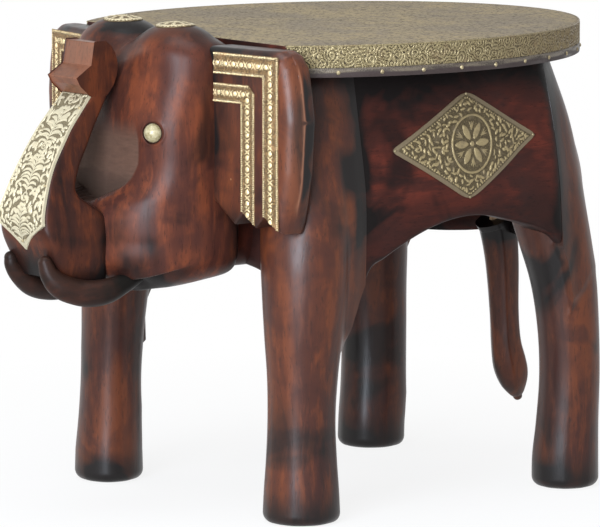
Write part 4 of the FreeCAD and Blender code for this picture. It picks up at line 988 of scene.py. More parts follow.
# %% Neck block
def superellipse(turn, wide, tall, power):
    """Points (w, h) of |w/wide|^power + |h/tall|^power = 1 at the angles in turn."""
    c, s = np.cos(turn), np.sin(turn)
    return (np.sign(c) * np.abs(c) ** (2 / power) * wide, np.sign(s) * np.abs(s) ** (2 / power) * tall)


NECK_FRONT, NECK_BACK, NECK_HEIGHT = -157.0, -128.0, 274.5
NECK_HALF = (66.0, 79.5)
turn = np.linspace(0, 2 * np.pi, 160, endpoint=False)
depth = np.linspace(NECK_FRONT, NECK_BACK, 16)
across, upwards = superellipse(turn, *NECK_HALF, 7.0)
neck = np.stack(np.broadcast_arrays(across, depth[:, None], NECK_HEIGHT + upwards), axis=-1)
neck_fields = {"shade": np.full(neck.shape[:2], 0.1), "glow": np.full(neck.shape[:2], 0.3)}
show("neck_block_carving", round_mesh("neck_block_carving", neck, neck_fields), ["neck_block"],
     cross_wood)

# %% [markdown]
# ## Trunk
# The trunk is a four sided bar with rounded corners that swells over the mouth and
# leans back as it rises. A row of the table gives the front and back edge of a section
# and its widths. Between front and back the width eases from one to the other.

# %% Sections of the trunk
TRUNK_ROWS = [(0, -300, 196, -254, 182, 29, 33), (1, -313.5, 226, -254, 215, 34.5, 37),
              (2, -316, 243, -255, 243, 31.5, 35), (3, -309, 266, -279, 262, 27, 29),
              (4, -301, 284, -275.6, 281, 24, 26), (5, -290, 302, -267, 297, 22.5, 24),
              (6, -280, 316, -258, 313, 21, 22), (7, -261, 338, -242, 341, 19.5, 19.5),
              (8, -252, 350, -238, 352, 19.5, 19.5)]


def trunk_frame(at):
    """Middle, half depth along the section, unit way from back to front, and the two widths."""
    rows = follow(TRUNK_ROWS, at)
    front, back = rows[..., 0:2], rows[..., 2:4]
    span = front - back
    half = np.linalg.norm(span, axis=-1) / 2
    return (front + back) / 2, half, span / (2 * half[..., None]), rows[..., 4], rows[..., 5]


at = np.linspace(0, 8, 150)
turn = np.linspace(0, 2 * np.pi, 120, endpoint=False)
middle, half, ahead, wide_front, wide_back = trunk_frame(at)
across, forward = superellipse(turn, 1.0, 1.0, 7.0)
width = wide_back[:, None] + (wide_front - wide_back)[:, None] * (forward[None, :] + 1) / 2
swing = middle[:, None, :] + ahead[:, None, :] * (half[:, None] * forward[None, :])[..., None]
trunk = np.stack([across[None, :] * width, swing[..., 0], swing[..., 1]], axis=-1)
z = trunk[..., 2]
at_front = np.broadcast_to(soft_step(0.8, 1.0, forward), z.shape)
trunk_fields = {
    "shade": 0.5 * soft_step(212, 194, z) + 0.7 * at_front * soft_step(222, 208, z)
    + 0.5 * soft_step(-272, -262, trunk[..., 1]) * soft_step(262, 225, z),
    "glow": 0.05 + 0.3 * soft_step(300, 340, z) + 0.8 * at_front * blot(trunk[..., 0], z, (0, 234), (40, 12))
    + 0.5 * blot(trunk[..., 1], z, (-290, 214), (12, 22)) * (1 - at_front)}
show("trunk_carving", round_mesh("trunk_carving", trunk, trunk_fields, 40.0), ["trunk"],
     trunk_wood)

# %% [markdown]
# ## Tip of the trunk
# The tip is a chiselled block that bends forward, with crisp flat facets. Its side outline
# is a short list of corners, carried straight across the trunk, and a Bevel modifier
# breaks its edges. Its facets carry a pale painted highlight. The fields are kept for each
# face here, so that the painted highlight ends sharply at the edges of the facets.

# %% Tip
TIP_OUTLINE = [(-254, 337), (-246, 338.5), (-240.6, 345), (-237.4, 352), (-236.3, 358), (-236.8, 364),
               (-238.8, 370), (-242, 375), (-247, 379), (-257, 379.2), (-260, 361), (-274, 352), (-271, 346.5),
               (-262, 338.3)]
outline = np.array(TIP_OUTLINE, dtype=float)
TIP_HALF = 19.5
sides = [np.column_stack([np.full(len(outline), x), outline]) for x in (TIP_HALF, -TIP_HALF)]
tip_points = np.concatenate(sides)
count = len(outline)
ring = np.arange(count)
tip_faces = [tuple(ring), tuple(ring[::-1] + count)] + [
    (a, b, b + count, a + count) for a, b in zip(ring.tolist(), np.roll(ring, -1).tolist())]
tip_mesh = bpy.data.meshes.new("trunk_tip_block")
tip_mesh.from_pydata(in_frame(tip_points).tolist(), [], [tuple(int(v) for v in face)[::-1] for face in tip_faces])
# Every facet round the outline gets a pale painted highlight and more warmth than the two flat sides.
for field_name, on_side, on_facet in (("painted_highlight", 0.0, 0.34), ("glow", 0.2, 0.8), ("shade", 0.0, 0.0)):
    tip_mesh.attributes.new(field_name, "FLOAT", "FACE").data.foreach_set(
        "value", np.array([on_side] * 2 + [on_facet] * count, dtype=np.float32))
tip_piece = show("trunk_tip_block", tip_mesh, [], trunk_wood)
bevel = tip_piece.modifiers.new("broken_edges", "BEVEL")
bevel.width, bevel.segments, bevel.limit_method = 0.0011, 3, "ANGLE"

# %% [markdown]
# ## Tusks
# The tusks rise from under the jaw in a smooth bow and end in a round tip. Each is a
# round section carried along a curve through a few points, closed by shrinking the
# last sections like a ball. The two were carved by hand and aren't alike, so each has
# its own table of (number, x, y, z, radius).

# %% Tusk
TUSK_ROWS = {
    "left": [(0, 41, -232, 195, 6.0), (1, 42, -248.5, 189.4, 8.0), (2, 42, -263.2, 185.4, 10.0),
             (3, 40, -276.5, 184.2, 10.6), (4, 36, -288.4, 186.0, 10.4), (5, 32, -301.2, 191.4, 9.8),
             (6, 29, -309.0, 200.2, 7.6), (7, 26.5, -311.8, 210.0, 5.6)],
    "right": [(0, -40, -222, 193, 6.5), (1, -38, -236, 184, 9.0), (2, -34, -252, 180.6, 10.4),
              (3, -30, -270, 181.6, 10.6), (4, -27, -286.5, 186, 10.0), (5, -26, -299, 194.5, 8.2),
              (6, -25.5, -306.2, 202.5, 6.4), (7, -25.5, -308.0, 208.6, 5.2)]}


def tube_points(rows, steps, sides, tip=8):
    """Round sections square to a curve; the last ones shrink as a half ball round the tip."""
    at = np.linspace(rows[0][0], rows[-1][0], steps)
    path = follow(rows, at)
    centre, radius = path[:, :3], path[:, 3]
    tangent = np.gradient(centre, axis=0)
    tangent /= np.linalg.norm(tangent, axis=1)[:, None]
    lean = np.linspace(0, np.pi / 2, tip)[1:]
    centre = np.concatenate([centre, centre[-1] + tangent[-1] * (radius[-1] * np.sin(lean))[:, None]])
    radius = np.concatenate([radius, radius[-1] * np.maximum(np.cos(lean), 0.02)])
    tangent = np.concatenate([tangent, np.repeat(tangent[-1:], tip - 1, axis=0)])
    side = np.cross(tangent, (1.0, 0.0, 0.0))
    side /= np.linalg.norm(side, axis=1)[:, None]
    other = np.cross(tangent, side)
    turn = np.linspace(0, 2 * np.pi, sides, endpoint=False)
    ring = side[:, None, :] * np.cos(turn)[None, :, None] + other[:, None, :] * np.sin(turn)[None, :, None]
    return centre[:, None, :] + ring * radius[:, None, None]


for side, rows in TUSK_ROWS.items():
    name = f"tusk_{side}"
    tusk = tube_points(rows, 100, 48)
    tusk_fields = {"shade": 0.6 * soft_step(-262, -240, tusk[..., 1]) + 0.35 * soft_step(186, 198, tusk[..., 2]),
                   "glow": 0.1 * np.ones(tusk.shape[:2])}
    show(f"{name}_carving", round_mesh(f"{name}_carving", tusk, tusk_fields), [name], tusk_wood)

# %% [markdown]
# ## Tail
# The tail hangs from the rump, swells to a bulb near its end and comes to a blunt point.
# It is carved in long flat facets, so its section is a circle with shallow flats.

# %% Tail
TAIL_ROWS = [(0, 0, 168, 206, 17.5), (1, 0, 172, 197, 16.5), (2, 0, 176.4, 169, 14.7), (3, 0, 179, 127, 12.8),
             (4, 0, 181, 101, 13.2), (5, 0, 184.6, 84, 14.7), (6, 0, 187.5, 74, 14.4), (7, 0, 190, 65, 12),
             (8, 0, 192.6, 57, 7.5), (9, 0, 194, 53, 4.2)]
tail = tube_points(TAIL_ROWS, 110, 60)
spine = tail.mean(axis=1, keepdims=True)
turn = np.linspace(0, 2 * np.pi, 60, endpoint=False)
tail = spine + (tail - spine) * (1 - 0.05 * np.abs(np.sin(3 * turn)))[None, :, None]
z = tail[..., 2]
tail_fields = {"shade": 0.8 * soft_step(175, 200, z) + 0.3 * soft_step(70, 55, z), "glow": 0.3 * np.ones(z.shape)}
show("tail_carving", round_mesh("tail_carving", tail, tail_fields), ["tail"], upright_wood)

# %% [markdown]
# ## Ears
# An ear is a thick board that slants back from the head. Its outer edge is rounded and
# its lower edge is sawn into points. Every cut square to X is a rounded rectangle, whose
# bottom, top, front and back are read from outlines, so the board is that rectangle
# carried from the root to the outer edge.

# %% Outlines of an ear
EAR_ZIGZAG = [(76, 259), (81, 256), (104, 238), (115, 249), (127, 237), (137, 247), (153, 234), (155, 234)]
EAR_LOW_EDGE = [(155, 234), (158, 243), (160.5, 255), (165.5, 281), (168.2, 320)]
EAR_TOP_EDGE = [(148, 377), (155, 373.5), (161, 365), (165.5, 346), (168.2, 324)]
EAR_ROUND, EAR_BACK_ROUND, EAR_EDGE_ROUND = 11.0, 5.0, 2.2
EAR_FRONT_LINE, EAR_BACK_LINE = ((76, -188.0), (168.2, -174.6)), ((76, -163.5), (168.2, -149.5))


def ear_front(x):
    """Y of the flat part of the ear's front, a slanted line."""
    return np.interp(x, *np.array(EAR_FRONT_LINE).T)


def narrowed(x):
    """The ear drawn a little narrower, measured from its root at x = 76."""
    return 76.0 + (x - 76.0) * 0.972


corners = [p[0] for p in EAR_ZIGZAG + EAR_LOW_EDGE + EAR_TOP_EDGE]
ear_x = np.unique(np.round(np.concatenate([corners, np.linspace(76, 145, 76), np.linspace(145, 166, 40),
                                           168.2 - 2.2 * np.linspace(1, 0, 12) ** 2]), 3))
low = np.where(ear_x < 155, np.interp(ear_x, *np.array(EAR_ZIGZAG).T), follow(EAR_LOW_EDGE, ear_x)[:, 0])
high = np.where(ear_x < 148, 377.0, follow(EAR_TOP_EDGE, ear_x)[:, 0])
front = ear_front(ear_x)
back = np.interp(ear_x, *np.array(EAR_BACK_LINE).T)
print("an ear is", len(ear_x), "cuts from root to outer edge")


# %% Make the ears
def rounded_box_ring(near, far, low, high, radius, steps=60):
    """Points round a rectangle with rounded corners, as shares of its two sides."""
    angle = np.linspace(0, np.pi / 2, 5)
    pieces = []
    centres = ((far - radius, high - radius, 0), (near + radius, high - radius, 1),
               (near + radius, low + radius, 2), (far - radius, low + radius, 3))
    for number, (y, z, quarter) in enumerate(centres):
        turn = angle + quarter * np.pi / 2
        pieces.append(np.stack([y[:, None] + radius[:, None] * np.cos(turn),
                                z[:, None] + radius[:, None] * np.sin(turn)], axis=-1))
        following = centres[(number + 1) % 4]
        count = steps if quarter in (1, 3) else 8
        share = np.linspace(0, 1, count + 2)[1:-1]
        start = pieces[-1][:, -1]
        turn = (quarter + 1) * np.pi / 2
        end = np.stack([following[0] + radius * np.cos(turn), following[1] + radius * np.sin(turn)], axis=-1)
        pieces.append(start[:, None] + (end - start)[:, None] * share[None, :, None])
    return np.concatenate(pieces, axis=1)


radius = np.minimum(EAR_EDGE_ROUND, np.minimum(back - front, high - low) * 0.49)
ring = rounded_box_ring(front, back, low, high, radius)
ear = np.concatenate([np.broadcast_to(ear_x[:, None, None], ring.shape[:2] + (1,)), ring], axis=-1)
outer_edge = ([(-400, 120), (152, 120)] + EAR_LOW_EDGE + [(168.2, 322)] + EAR_TOP_EDGE[::-1]
              + [(130, 381), (-400, 381)])
from_edge = inside_outline(ear[..., 0], ear[..., 2], outer_edge)
through = (ear[..., 1] - front[:, None]) / (back - front)[:, None]
for bend, share in ((EAR_ROUND, 1 - through), (EAR_BACK_ROUND, -through)):
    past = np.clip(1 - from_edge / bend, 0, 1)
    ear[..., 1] = ear[..., 1] + bend * (1 - np.sqrt(1 - past**2)) * share
x, y, z = ear[..., 0], ear[..., 1], ear[..., 2]
shade = (0.7 * soft_step(258, 240, z) * soft_step(150, 120, x) + 0.6 * soft_step(90, 78, x)
         + 0.6 * soft_step(340, 368, z) * soft_step(150, 140, x) + 0.5 * soft_step(166, 168, x))
on_side = soft_step(160, 166, x) * (0.8 * np.exp(-((through - 0.55) / 0.12) ** 2)
                                    + 0.45 * soft_step(0.24, 0.4, through))
# A pale painted highlight runs along the rounded front corner of the ear's outer edge.
highlight_corner = (soft_step(156, 162, x) * np.exp(-((through - 0.14) / 0.09) ** 2)
                 * soft_step(243, 262, z) * soft_step(372, 355, z))
ear_fields = {"shade": shade + on_side, "painted_highlight": 0.8 * highlight_corner,
              "glow": 0.55 * soft_step(148, 162, x) + 0.15 + 0.25 * soft_step(350, 300, z)}
ear[..., 0] = narrowed(x)
for side, sign in (("left", 1), ("right", -1)):
    name = f"ear_{side}"
    show(f"{name}_board", round_mesh(f"{name}_board", ear * (sign, 1, 1), ear_fields, 32.0), [name],
         upright_wood)

# %% [markdown]
# ## Drawing relief with strokes
# The embossed patterns are drawn with strokes, as with a brush: each stroke is a curve
# of points with a radius, and the sheet rises like a rounded bead over it. The height
# at a point is the largest bead over all strokes, so crossing strokes melt together.

# %% Strokes and beads
def beads(where, strokes):
    """Height over points (n, 2): the largest sqrt(1 - (d/r)^2) over all stroke points, times
    their radius, which counts as 1.2 at most.

    Stroke rows are (u, v, radius). Work goes in blocks, so that no array grows too large.
    """
    where = np.asarray(where, dtype=np.float32)
    marks = np.concatenate(strokes).astype(np.float32)
    height = np.zeros(len(where), dtype=np.float32)
    for start in range(0, len(where), 4000):
        block = where[start:start + 4000]
        low, high = block.min(axis=0) - 4.0, block.max(axis=0) + 4.0
        near = marks[((marks[:, :2] > low) & (marks[:, :2] < high)).all(axis=1)]
        if len(near) == 0:
            continue
        gap = ((block[:, None, :] - near[None, :, :2]) ** 2).sum(axis=2) / near[None, :, 2] ** 2
        height[start:start + 4000] = (np.sqrt(np.clip(1 - gap, 0, 1))
                                      * np.minimum(near[None, :, 2], 1.2)).max(axis=1)
    return height


def leaf(base, angle, length, thick=1.0, bend=0.35, count=16):
    """A leaf stroke: a short bent line, fat in its middle and thin at both ends."""
    s = np.linspace(0, 1, count)
    turn = angle + bend * s
    return np.column_stack([base[0] + length * s * np.cos(turn), base[1] + length * s * np.sin(turn),
                            0.25 + thick * np.sin(np.pi * s) ** 0.8])


def ring_stroke(centre, wide, tall, thick, count=140):
    """An oval ring stroke."""
    angle = np.linspace(0, 2 * np.pi, count, endpoint=False)
    return np.column_stack([centre[0] + wide * np.cos(angle), centre[1] + tall * np.sin(angle),
                            np.full(count, thick)])


def scrolls(u, v, centres, pitch):
    """Ridges that wind round the nearest centre: 0 in the furrows and 1 on the ridges.

    The wave cos(2 pi (d / pitch + hand a / 2 pi)) of distance d and angle a is a spiral.
    Rows of centres are (u, v, hand).
    """
    nearest, wave = np.full(u.shape, 1e9), np.zeros(u.shape)
    for cu, cv, hand in centres:
        d = np.hypot(u - cu, v - cv)
        turn = np.arctan2(v - cv, u - cu)
        closer = d < nearest
        wave = np.where(closer, np.cos(2 * np.pi * d / pitch + hand * turn), wave)
        nearest = np.where(closer, d, nearest)
    return np.clip(0.5 + 0.75 * wave, 0, 1)


# %% [markdown]
# ## Side plates
# The lozenge on each flank shows a flower with six petals in an oval ring, with leafy
# sprays towards its four corners and a plain border. The grid follows the lozenge's
# edges, its strokes are drawn flat, and then it is sheared a little, as it sits on the
# real flank, and bent over the body.

# %% Pattern of a side plate
PLATE_MIDDLE, PLATE_HALF, FLOWER = (12.0, 291.5), (75.0, 43.5), (3.8, 1.0)
PLATE_SHEAR, PLATE_RISE, BORDER = 0.12, 0.045, 3.2
rng = np.random.default_rng(7)
plate_strokes = [ring_stroke((0, 0), 20.4, 22.5, 1.1), ring_stroke((0, 0), 1.0, 1.0, 1.3, 10)]
for petal in range(6):
    angle = petal * np.pi / 3
    plate_strokes.append(leaf((4.0 * np.cos(angle), 4.0 * np.sin(angle)), angle, 13.5, 2.9, 0.0, 30))
    between = angle + np.pi / 6
    for spread in (-0.16, 0.0, 0.16):
        plate_strokes.append(leaf((10 * np.cos(between), 10 * np.sin(between)), between + spread, 8.5, 0.5, spread))
for stroke in plate_strokes:
    stroke[:, :2] += FLOWER
placed = []
for _ in range(5000):
    u, v = rng.uniform(-68, 68), rng.uniform(-37, 37)
    room = 1 - abs(u) / PLATE_HALF[0] - abs(v) / PLATE_HALF[1]
    if room < 0.13 or math.hypot(u - FLOWER[0], v - FLOWER[1]) < 25.5:
        continue
    if any(math.hypot(u - pu, v - pv) < 3.3 for pu, pv in placed):
        continue
    placed.append((u, v))
    swirl = math.atan2(v, u) + math.copysign(1.0, u * v) * 0.9 + rng.uniform(-1.0, 1.0)
    length = rng.uniform(3.6, 6.4)
    stroke = leaf((0, 0), swirl, length, rng.uniform(0.6, 1.25), rng.uniform(-1.0, 1.0))
    stroke[:, :2] += (u - 0.5 * length * math.cos(swirl), v - 0.5 * length * math.sin(swirl))
    plate_strokes.append(stroke)
for share in np.linspace(-0.96, 0.96, 56):
    for side in (1, -1):
        u = share * (PLATE_HALF[0] - 9.2)
        v = side * (1 - abs(share)) * (PLATE_HALF[1] - 5.4)
        plate_strokes.append(np.array([(u, v, 0.9)]))
print("side plate strokes:", len(plate_strokes))

# %% Make the side plates
edge = np.linspace(-1, 1, 220)
a, b = np.meshgrid(edge, edge, indexing="ij")
u = (a + b) / 2 * PLATE_HALF[0]
v = (b - a) / 2 * PLATE_HALF[1]
u = np.sign(u) * soft_min(np.abs(u), np.full(u.shape, PLATE_HALF[0] - 2.5), 4.0)
v = np.sign(v) * soft_min(np.abs(v), np.full(v.shape, PLATE_HALF[1] - 2.2), 4.0)
drawn = beads(np.column_stack([u.ravel(), v.ravel()]), plate_strokes).reshape(u.shape)
from_rim = (1 - np.maximum(np.abs(a), np.abs(b))) * 37.6
border = 0.8 * soft_step(BORDER, BORDER - 0.4, from_rim)
lift = drawn * soft_step(3.6, 4.4, from_rim) + 0.16 * np.exp(-((from_rim - 3.5) / 0.4) ** 2)
plate_y = PLATE_MIDDLE[0] + u + PLATE_SHEAR * v
plate_z = PLATE_MIDDLE[1] + v + PLATE_RISE * np.maximum(u, 0)
start = np.stack([np.full(u.shape, 60.0), plate_y, plate_z], axis=-1)
way = np.broadcast_to(np.array([1.0, 0.0, 0.0]), start.shape)
surface = start + way * reach(body_distance, start, way, 200.0)[..., None]
plate_front = surface + way * (0.7 + 0.75 * lift)[..., None]
plate_fields = {"relief": np.clip(lift, 0, 1), "plain": border}
for side, sign in (("left", 1), ("right", -1)):
    name = f"side_plate_{side}"
    show(f"{name}_embossed", sheet_mesh(f"{name}_embossed", plate_front * (sign, 1, 1),
                                        (surface - way * 0.4) * (sign, 1, 1), plate_fields),
         [name], plate_brass)

# %% [markdown]
# ## Pearl strips on the ears
# Each ear carries two bent strips. A row of pearls runs down the middle with small
# crossed leaves between them, and a fine rope borders both edges. The strip is a grid
# whose rows run from the head to the corner and down to the slanted end.

# %% Strip grids
def strip_grid(root, edge, top, width, point, notch, chamfer, along=0.42):
    """Front points (x, z), the run along the strip and the distance from its outer edge."""
    w = np.linspace(0, width, int(width / 0.42) + 1)
    first = np.linspace(0, 1, int((edge - root) / along))
    second = np.linspace(0, 1, int((top - point) / along))[1:]
    corner_x, corner_z = edge - w, top - w
    x1 = root + (corner_x[None, :] - root) * first[:, None]
    z1 = np.broadcast_to(corner_z, x1.shape)
    low = point + (notch - point) * w / width
    z2 = corner_z[None, :] + (low - corner_z)[None, :] * second[:, None]
    x2 = np.broadcast_to(corner_x, z2.shape)
    x, z = np.concatenate([x1, x2]), np.concatenate([z1, z2])
    cut = np.maximum(((x - edge) + (z - top) + chamfer) / 2, 0.0)
    run = np.concatenate([x1 - (edge - width / 2), (top - width / 2) - z2])
    return x - cut, z - cut, run, np.broadcast_to(w, x.shape)


def pearl_relief(run, w, width, pitch):
    """Pearls down the middle, crossed leaves between them and a rope along both edges."""
    middle = w - width / 2
    phase = (run / pitch - np.floor(run / pitch) - 0.5) * pitch
    pearl = np.sqrt(np.clip(1 - (phase / (0.27 * pitch)) ** 2 - (middle / (0.24 * pitch)) ** 2, 0, 1)) * 1.3
    between = (np.abs(phase) - pitch / 2)
    cross = np.zeros_like(run)
    for tilt in (0.65, -0.65):
        lean = between * math.cos(tilt) + middle * math.sin(tilt)
        across = -between * math.sin(tilt) + middle * math.cos(tilt)
        cross = np.maximum(cross, np.sqrt(np.clip(1 - (across / 4.0) ** 2 - (lean / 0.8) ** 2, 0, 1)) * 0.8)
    from_edge = width / 2 - np.abs(middle)
    rope_angle = np.sin(2 * np.pi * run / 1.7 + np.sign(middle) * 1.2 * from_edge)
    rope = np.sqrt(np.clip(1 - ((from_edge - 1.1) / 0.9) ** 2, 0, 1)) * (0.5 + 0.45 * rope_angle)
    inner_line = np.sqrt(np.clip(1 - ((from_edge - 2.5) / 0.4) ** 2, 0, 1)) * 0.28
    return np.maximum.reduce([pearl, cross, rope, inner_line])


STRIPS = {"outer": (82.0, 153.0, 373.0, 17.0, 236.5, 248.0, 0.0, 9.0),
          "inner": (82.0, 127.0, 349.0, 15.2, 239.0, 250.0, 6.5, 9.0)}
for kind, (root, edge, top, width, point, notch, chamfer, pitch) in STRIPS.items():
    x, z, run, w = strip_grid(root, edge, top, width, point, notch, chamfer)
    lift = pearl_relief(run, w, width, pitch)
    y = ear_front(x)
    strip_front = np.stack([narrowed(x), y - 0.6 - 0.8 * lift, z], axis=-1)
    strip_back = np.stack([narrowed(x), y + 0.3, z], axis=-1)
    for side, sign in (("left", 1), ("right", -1)):
        name = f"ear_{kind}_strip_{side}"
        mesh = sheet_mesh(f"{name}_embossed", strip_front * (sign, 1, 1), strip_back * (sign, 1, 1),
                          {"relief": np.clip(lift * 0.85, 0, 1)})
        show(f"{name}_embossed", mesh, [name], ear_brass)

# %% [markdown]
# ## Trunk strip
# A long strip of brass lies on the front of the trunk. Three plumes stand one above the
# other on a central stem, their feathery leaves filling pointed arches, with a rosette
# over each. Loose curled leaves fill the sides, inside a plain narrow border. The strip
# ends square under the tip and in a point above the mouth.

# %% Pattern of the trunk strip
STRIP_LONG = 128.0
TREES = (4.0, 46.0, 86.0)


def tree_width(v):
    """Half the width of the plumes at a height: a row of pointed arches, one for each tree."""
    share = np.min([np.where(v > start - 2, (v - start) / 37.0, 9.0) for start in TREES], axis=0)
    return 12.0 * np.sin(np.pi * np.clip(share * 0.85 + 0.13, 0, 1))


trunk_strokes = []
rng = np.random.default_rng(5)
for start in TREES:
    stem = np.linspace(start - 1, start + 33, 60)
    trunk_strokes.append(np.column_stack([0 * stem, stem, np.full(60, 0.75)]))
    trunk_strokes += [ring_stroke((0, start + 37.5), 2.6, 2.6, 0.75, 40), np.array([(0, start + 37.5, 1.1)])]
    for step in np.arange(0.0, 33.0, 3.5):
        reach_out = float(tree_width(np.array(start + step + 3.0)))
        for side in (1, -1):
            lean, bend = rng.uniform(0.2, 0.55), rng.uniform(0.7, 1.4)
            trunk_strokes.append(leaf((side * 0.8, start + step), np.pi / 2 - side * lean, reach_out * 1.1,
                                      1.15, -side * bend, 24))
placed = []
for _ in range(9000):
    u, v = rng.uniform(-34, 34), rng.uniform(1, STRIP_LONG + 2)
    on_plume = abs(u) < tree_width(np.array(v)) + 1.6
    if on_plume or any(math.hypot(u - pu, v - pv) < 3.5 for pu, pv in placed):
        continue
    placed.append((u, v))
    swirl = 0.75 * math.sin(v / 4.1) * math.copysign(1.0, u) + rng.uniform(-0.6, 0.6) + np.pi / 2
    length = rng.uniform(4.4, 7.0)
    stroke = leaf((0, 0), swirl, length, rng.uniform(0.95, 1.35), rng.uniform(-1.6, 1.6))
    stroke[:, :2] += (u - 0.5 * length * math.cos(swirl), v - 0.5 * length * math.sin(swirl))
    trunk_strokes.append(stroke)
print("trunk strip strokes:", len(trunk_strokes))

# %% Make the trunk strip
run = np.linspace(0, 1, 340)
side_share = np.linspace(-1, 1, 140)
STRIP_START, STRIP_SHOULDER, STRIP_POINT = 7.0, 1.82, 0.68
at_end = STRIP_SHOULDER + (STRIP_POINT - STRIP_SHOULDER) * (1 - np.abs(side_share))
at = STRIP_START + (at_end[None, :] - STRIP_START) * run[:, None]
middle, half, ahead, wide_front, wide_back = trunk_frame(at)
front = middle + ahead * half[..., None]
strip_x = side_share[None, :] * (wide_front - 1.0)
up_strip = STRIP_LONG * (at - STRIP_POINT) / (STRIP_START - STRIP_POINT)
drawn = beads(np.column_stack([strip_x.ravel(), up_strip.ravel()]), trunk_strokes).reshape(strip_x.shape)
from_side = (1 - np.abs(side_share))[None, :] * wide_front
border = 1 - soft_step(1.6, 2.1, np.minimum(from_side, (1 - run)[:, None] * 60 + 0.2))
lift = np.maximum(np.clip(drawn, 0, 1) * (1 - border), 0.75 * border)
raised = front + ahead * (0.5 + 0.7 * lift)[..., None]
sunk = front - ahead * 1.5
strip_front = np.concatenate([strip_x[..., None], raised], axis=-1)
strip_back = np.concatenate([strip_x[..., None], sunk], axis=-1)
show("trunk_strip_embossed", sheet_mesh("trunk_strip_embossed", strip_front, strip_back,
                                        {"relief": np.clip(lift, 0, 1)}),
     ["trunk_strip"], trunk_brass)

# %% [markdown]
# ## Pins of the strips
# The thin strips are held by small round headed pins. A pin is half a ball on the front
# of its strip. All of them are one piece, for they are alike.

# %% Make the pins
PIN_SIZE = 1.35


def half_ball(centre, ahead, size, rows=6, cols=14):
    """Grid of half a ball: rows go from its rim to its top, at centre + size (cos a ring +
    sin a ahead) for an angle a that rises from 0."""
    ahead = np.asarray(ahead, dtype=float) / np.linalg.norm(ahead)
    aside = np.array([1.0, 0.0, 0.0]) - ahead * ahead[0]
    aside /= np.linalg.norm(aside)
    up = np.cross(ahead, aside)
    rise = np.linspace(0, np.pi / 2 - 0.1, rows)[:, None, None]
    turn = np.linspace(0, 2 * np.pi, cols, endpoint=False)
    level = aside * np.cos(turn)[:, None] + up * np.sin(turn)[:, None]
    return np.asarray(centre) + size * (np.cos(rise) * level[None] + np.sin(rise) * ahead)


pin_grids = []
for middle_x, middle_z, places in ((144.5, 364.5, ((0.15, 0), (0.9, 0), (1, 0.35), (1, 0.7), (1, 0.93))),
                                   (119.4, 341.4, ((0.2, 0), (1, 0.3), (1, 0.9)))):
    for along_share, down_share in places:
        x = 84.0 + (middle_x - 84.0) * along_share
        z = middle_z - (middle_z - 243.0) * down_share
        for sign in (1, -1):
            pin_grids.append(half_ball((sign * narrowed(x), float(ear_front(x)) - 1.2, z), (sign * 0.1, -1.0, 0.0),
                                       PIN_SIZE))
for place, share in ((6.55, 0.8), (6.55, -0.8), (3.2, 0.86), (3.2, -0.86), (0.95, 0.0)):
    middle, half, ahead, wide_front, _ = trunk_frame(np.array(place))
    spot = middle + ahead * (half + 0.9)
    pin_grids.append(half_ball((share * float(wide_front), *spot), (0.0, *ahead), PIN_SIZE))


def pins_mesh(name, grids):
    """One mesh of many half balls, each closed by a face at its rim and one on its top."""
    points, faces = [], []
    for number, grid in enumerate(grids):
        rows, cols = grid.shape[:2]
        first = number * rows * cols
        rim = np.arange(cols) + first
        points.append(grid.reshape(-1, 3))
        faces += (grid_faces(rows, cols, True) + first).tolist()
        faces += [rim[::-1].tolist(), (rim + (rows - 1) * cols).tolist()]
    mesh = bpy.data.meshes.new(name)
    mesh.from_pydata(in_frame(np.concatenate(points)).tolist(), [], faces)
    mesh.shade_smooth()
    return mesh


show("trim_pin_heads", pins_mesh("trim_pin_heads", pin_grids), ["trim_pins"], tack_finish)
plate_pins = []
for row, column in ((5, 5), (5, -6), (-6, 5), (-6, -6)):
    for sign in (1, -1):
        plate_pins.append(half_ball(plate_front[row, column] * (sign, 1, 1), (sign, 0.0, 0.1), 1.2))
show("side_plate_pin_heads", pins_mesh("side_plate_pin_heads", plate_pins), ["side_plate_pins"],
     tack_finish)

# %% [markdown]
# ## Crown caps
# A small brass rosette covers the top of each dome. Its grid runs in rings from the
# middle outwards, it lies on the head's own skin, and its petals rise between rings.

# %% Make the crown caps
CAP_MIDDLE, CAP_RADIUS = (35.0, -190.0), 16.0
ring_radius = np.linspace(0.4, CAP_RADIUS, 44)
turn = np.linspace(0, 2 * np.pi, 120, endpoint=False)
radius, angle = np.meshgrid(ring_radius, turn, indexing="ij")
cap_x, cap_y = CAP_MIDDLE[0] + radius * np.cos(angle), CAP_MIDDLE[1] + radius * np.sin(angle)
start = np.stack([cap_x, cap_y, np.full(cap_x.shape, 350.0)], axis=-1)
up = np.broadcast_to(np.array([0.0, 0.0, 1.0]), start.shape)
top = start + up * reach(head_distance, start, up, 80.0)[..., None]
petals = np.clip(np.cos(8 * angle), 0, 1) ** 0.5 * np.exp(-((radius - 8.5) / 3.2) ** 2)
rings = np.exp(-((radius - 13.4) / 0.8) ** 2) + 0.8 * np.exp(-((radius - 3.6) / 0.8) ** 2)
dots = np.exp(-((radius - 14.9) / 0.7) ** 2) * (0.5 + 0.5 * np.cos(30 * angle))
lift = np.clip(petals + rings + dots + np.exp(-(radius / 1.8) ** 2), 0, 1)
cap_front = top + up * (0.6 + 0.7 * lift * soft_step(CAP_RADIUS, CAP_RADIUS - 0.8, radius))[..., None]
cap = np.concatenate([cap_front, (top - up * 0.4)[::-1]])
cap_fields = {"relief": np.concatenate([lift, lift[::-1]])}
for side, sign in (("left", 1), ("right", -1)):
    name = f"crown_cap_{side}"
    show(f"{name}_rosette", round_mesh(f"{name}_rosette", cap * (sign, 1, 1), cap_fields), [name],
         cap_brass)

# %% [markdown]
# ## Seat
# The oval seat is covered with thin brass: a finely hammered sheet on top, an embossed
# band of curling leaves round the edge and a narrow strip below it. The top is drawn in
# rings about the oval's middle, and the front is sawn straight behind the head.

# %% Seat outline
SEAT_MIDDLE, SEAT_LONG, SEAT_WIDE, SEAT_FRONT = -7.6, 219.3, 180.9, -155.7
SEAT_TOP = 380.0


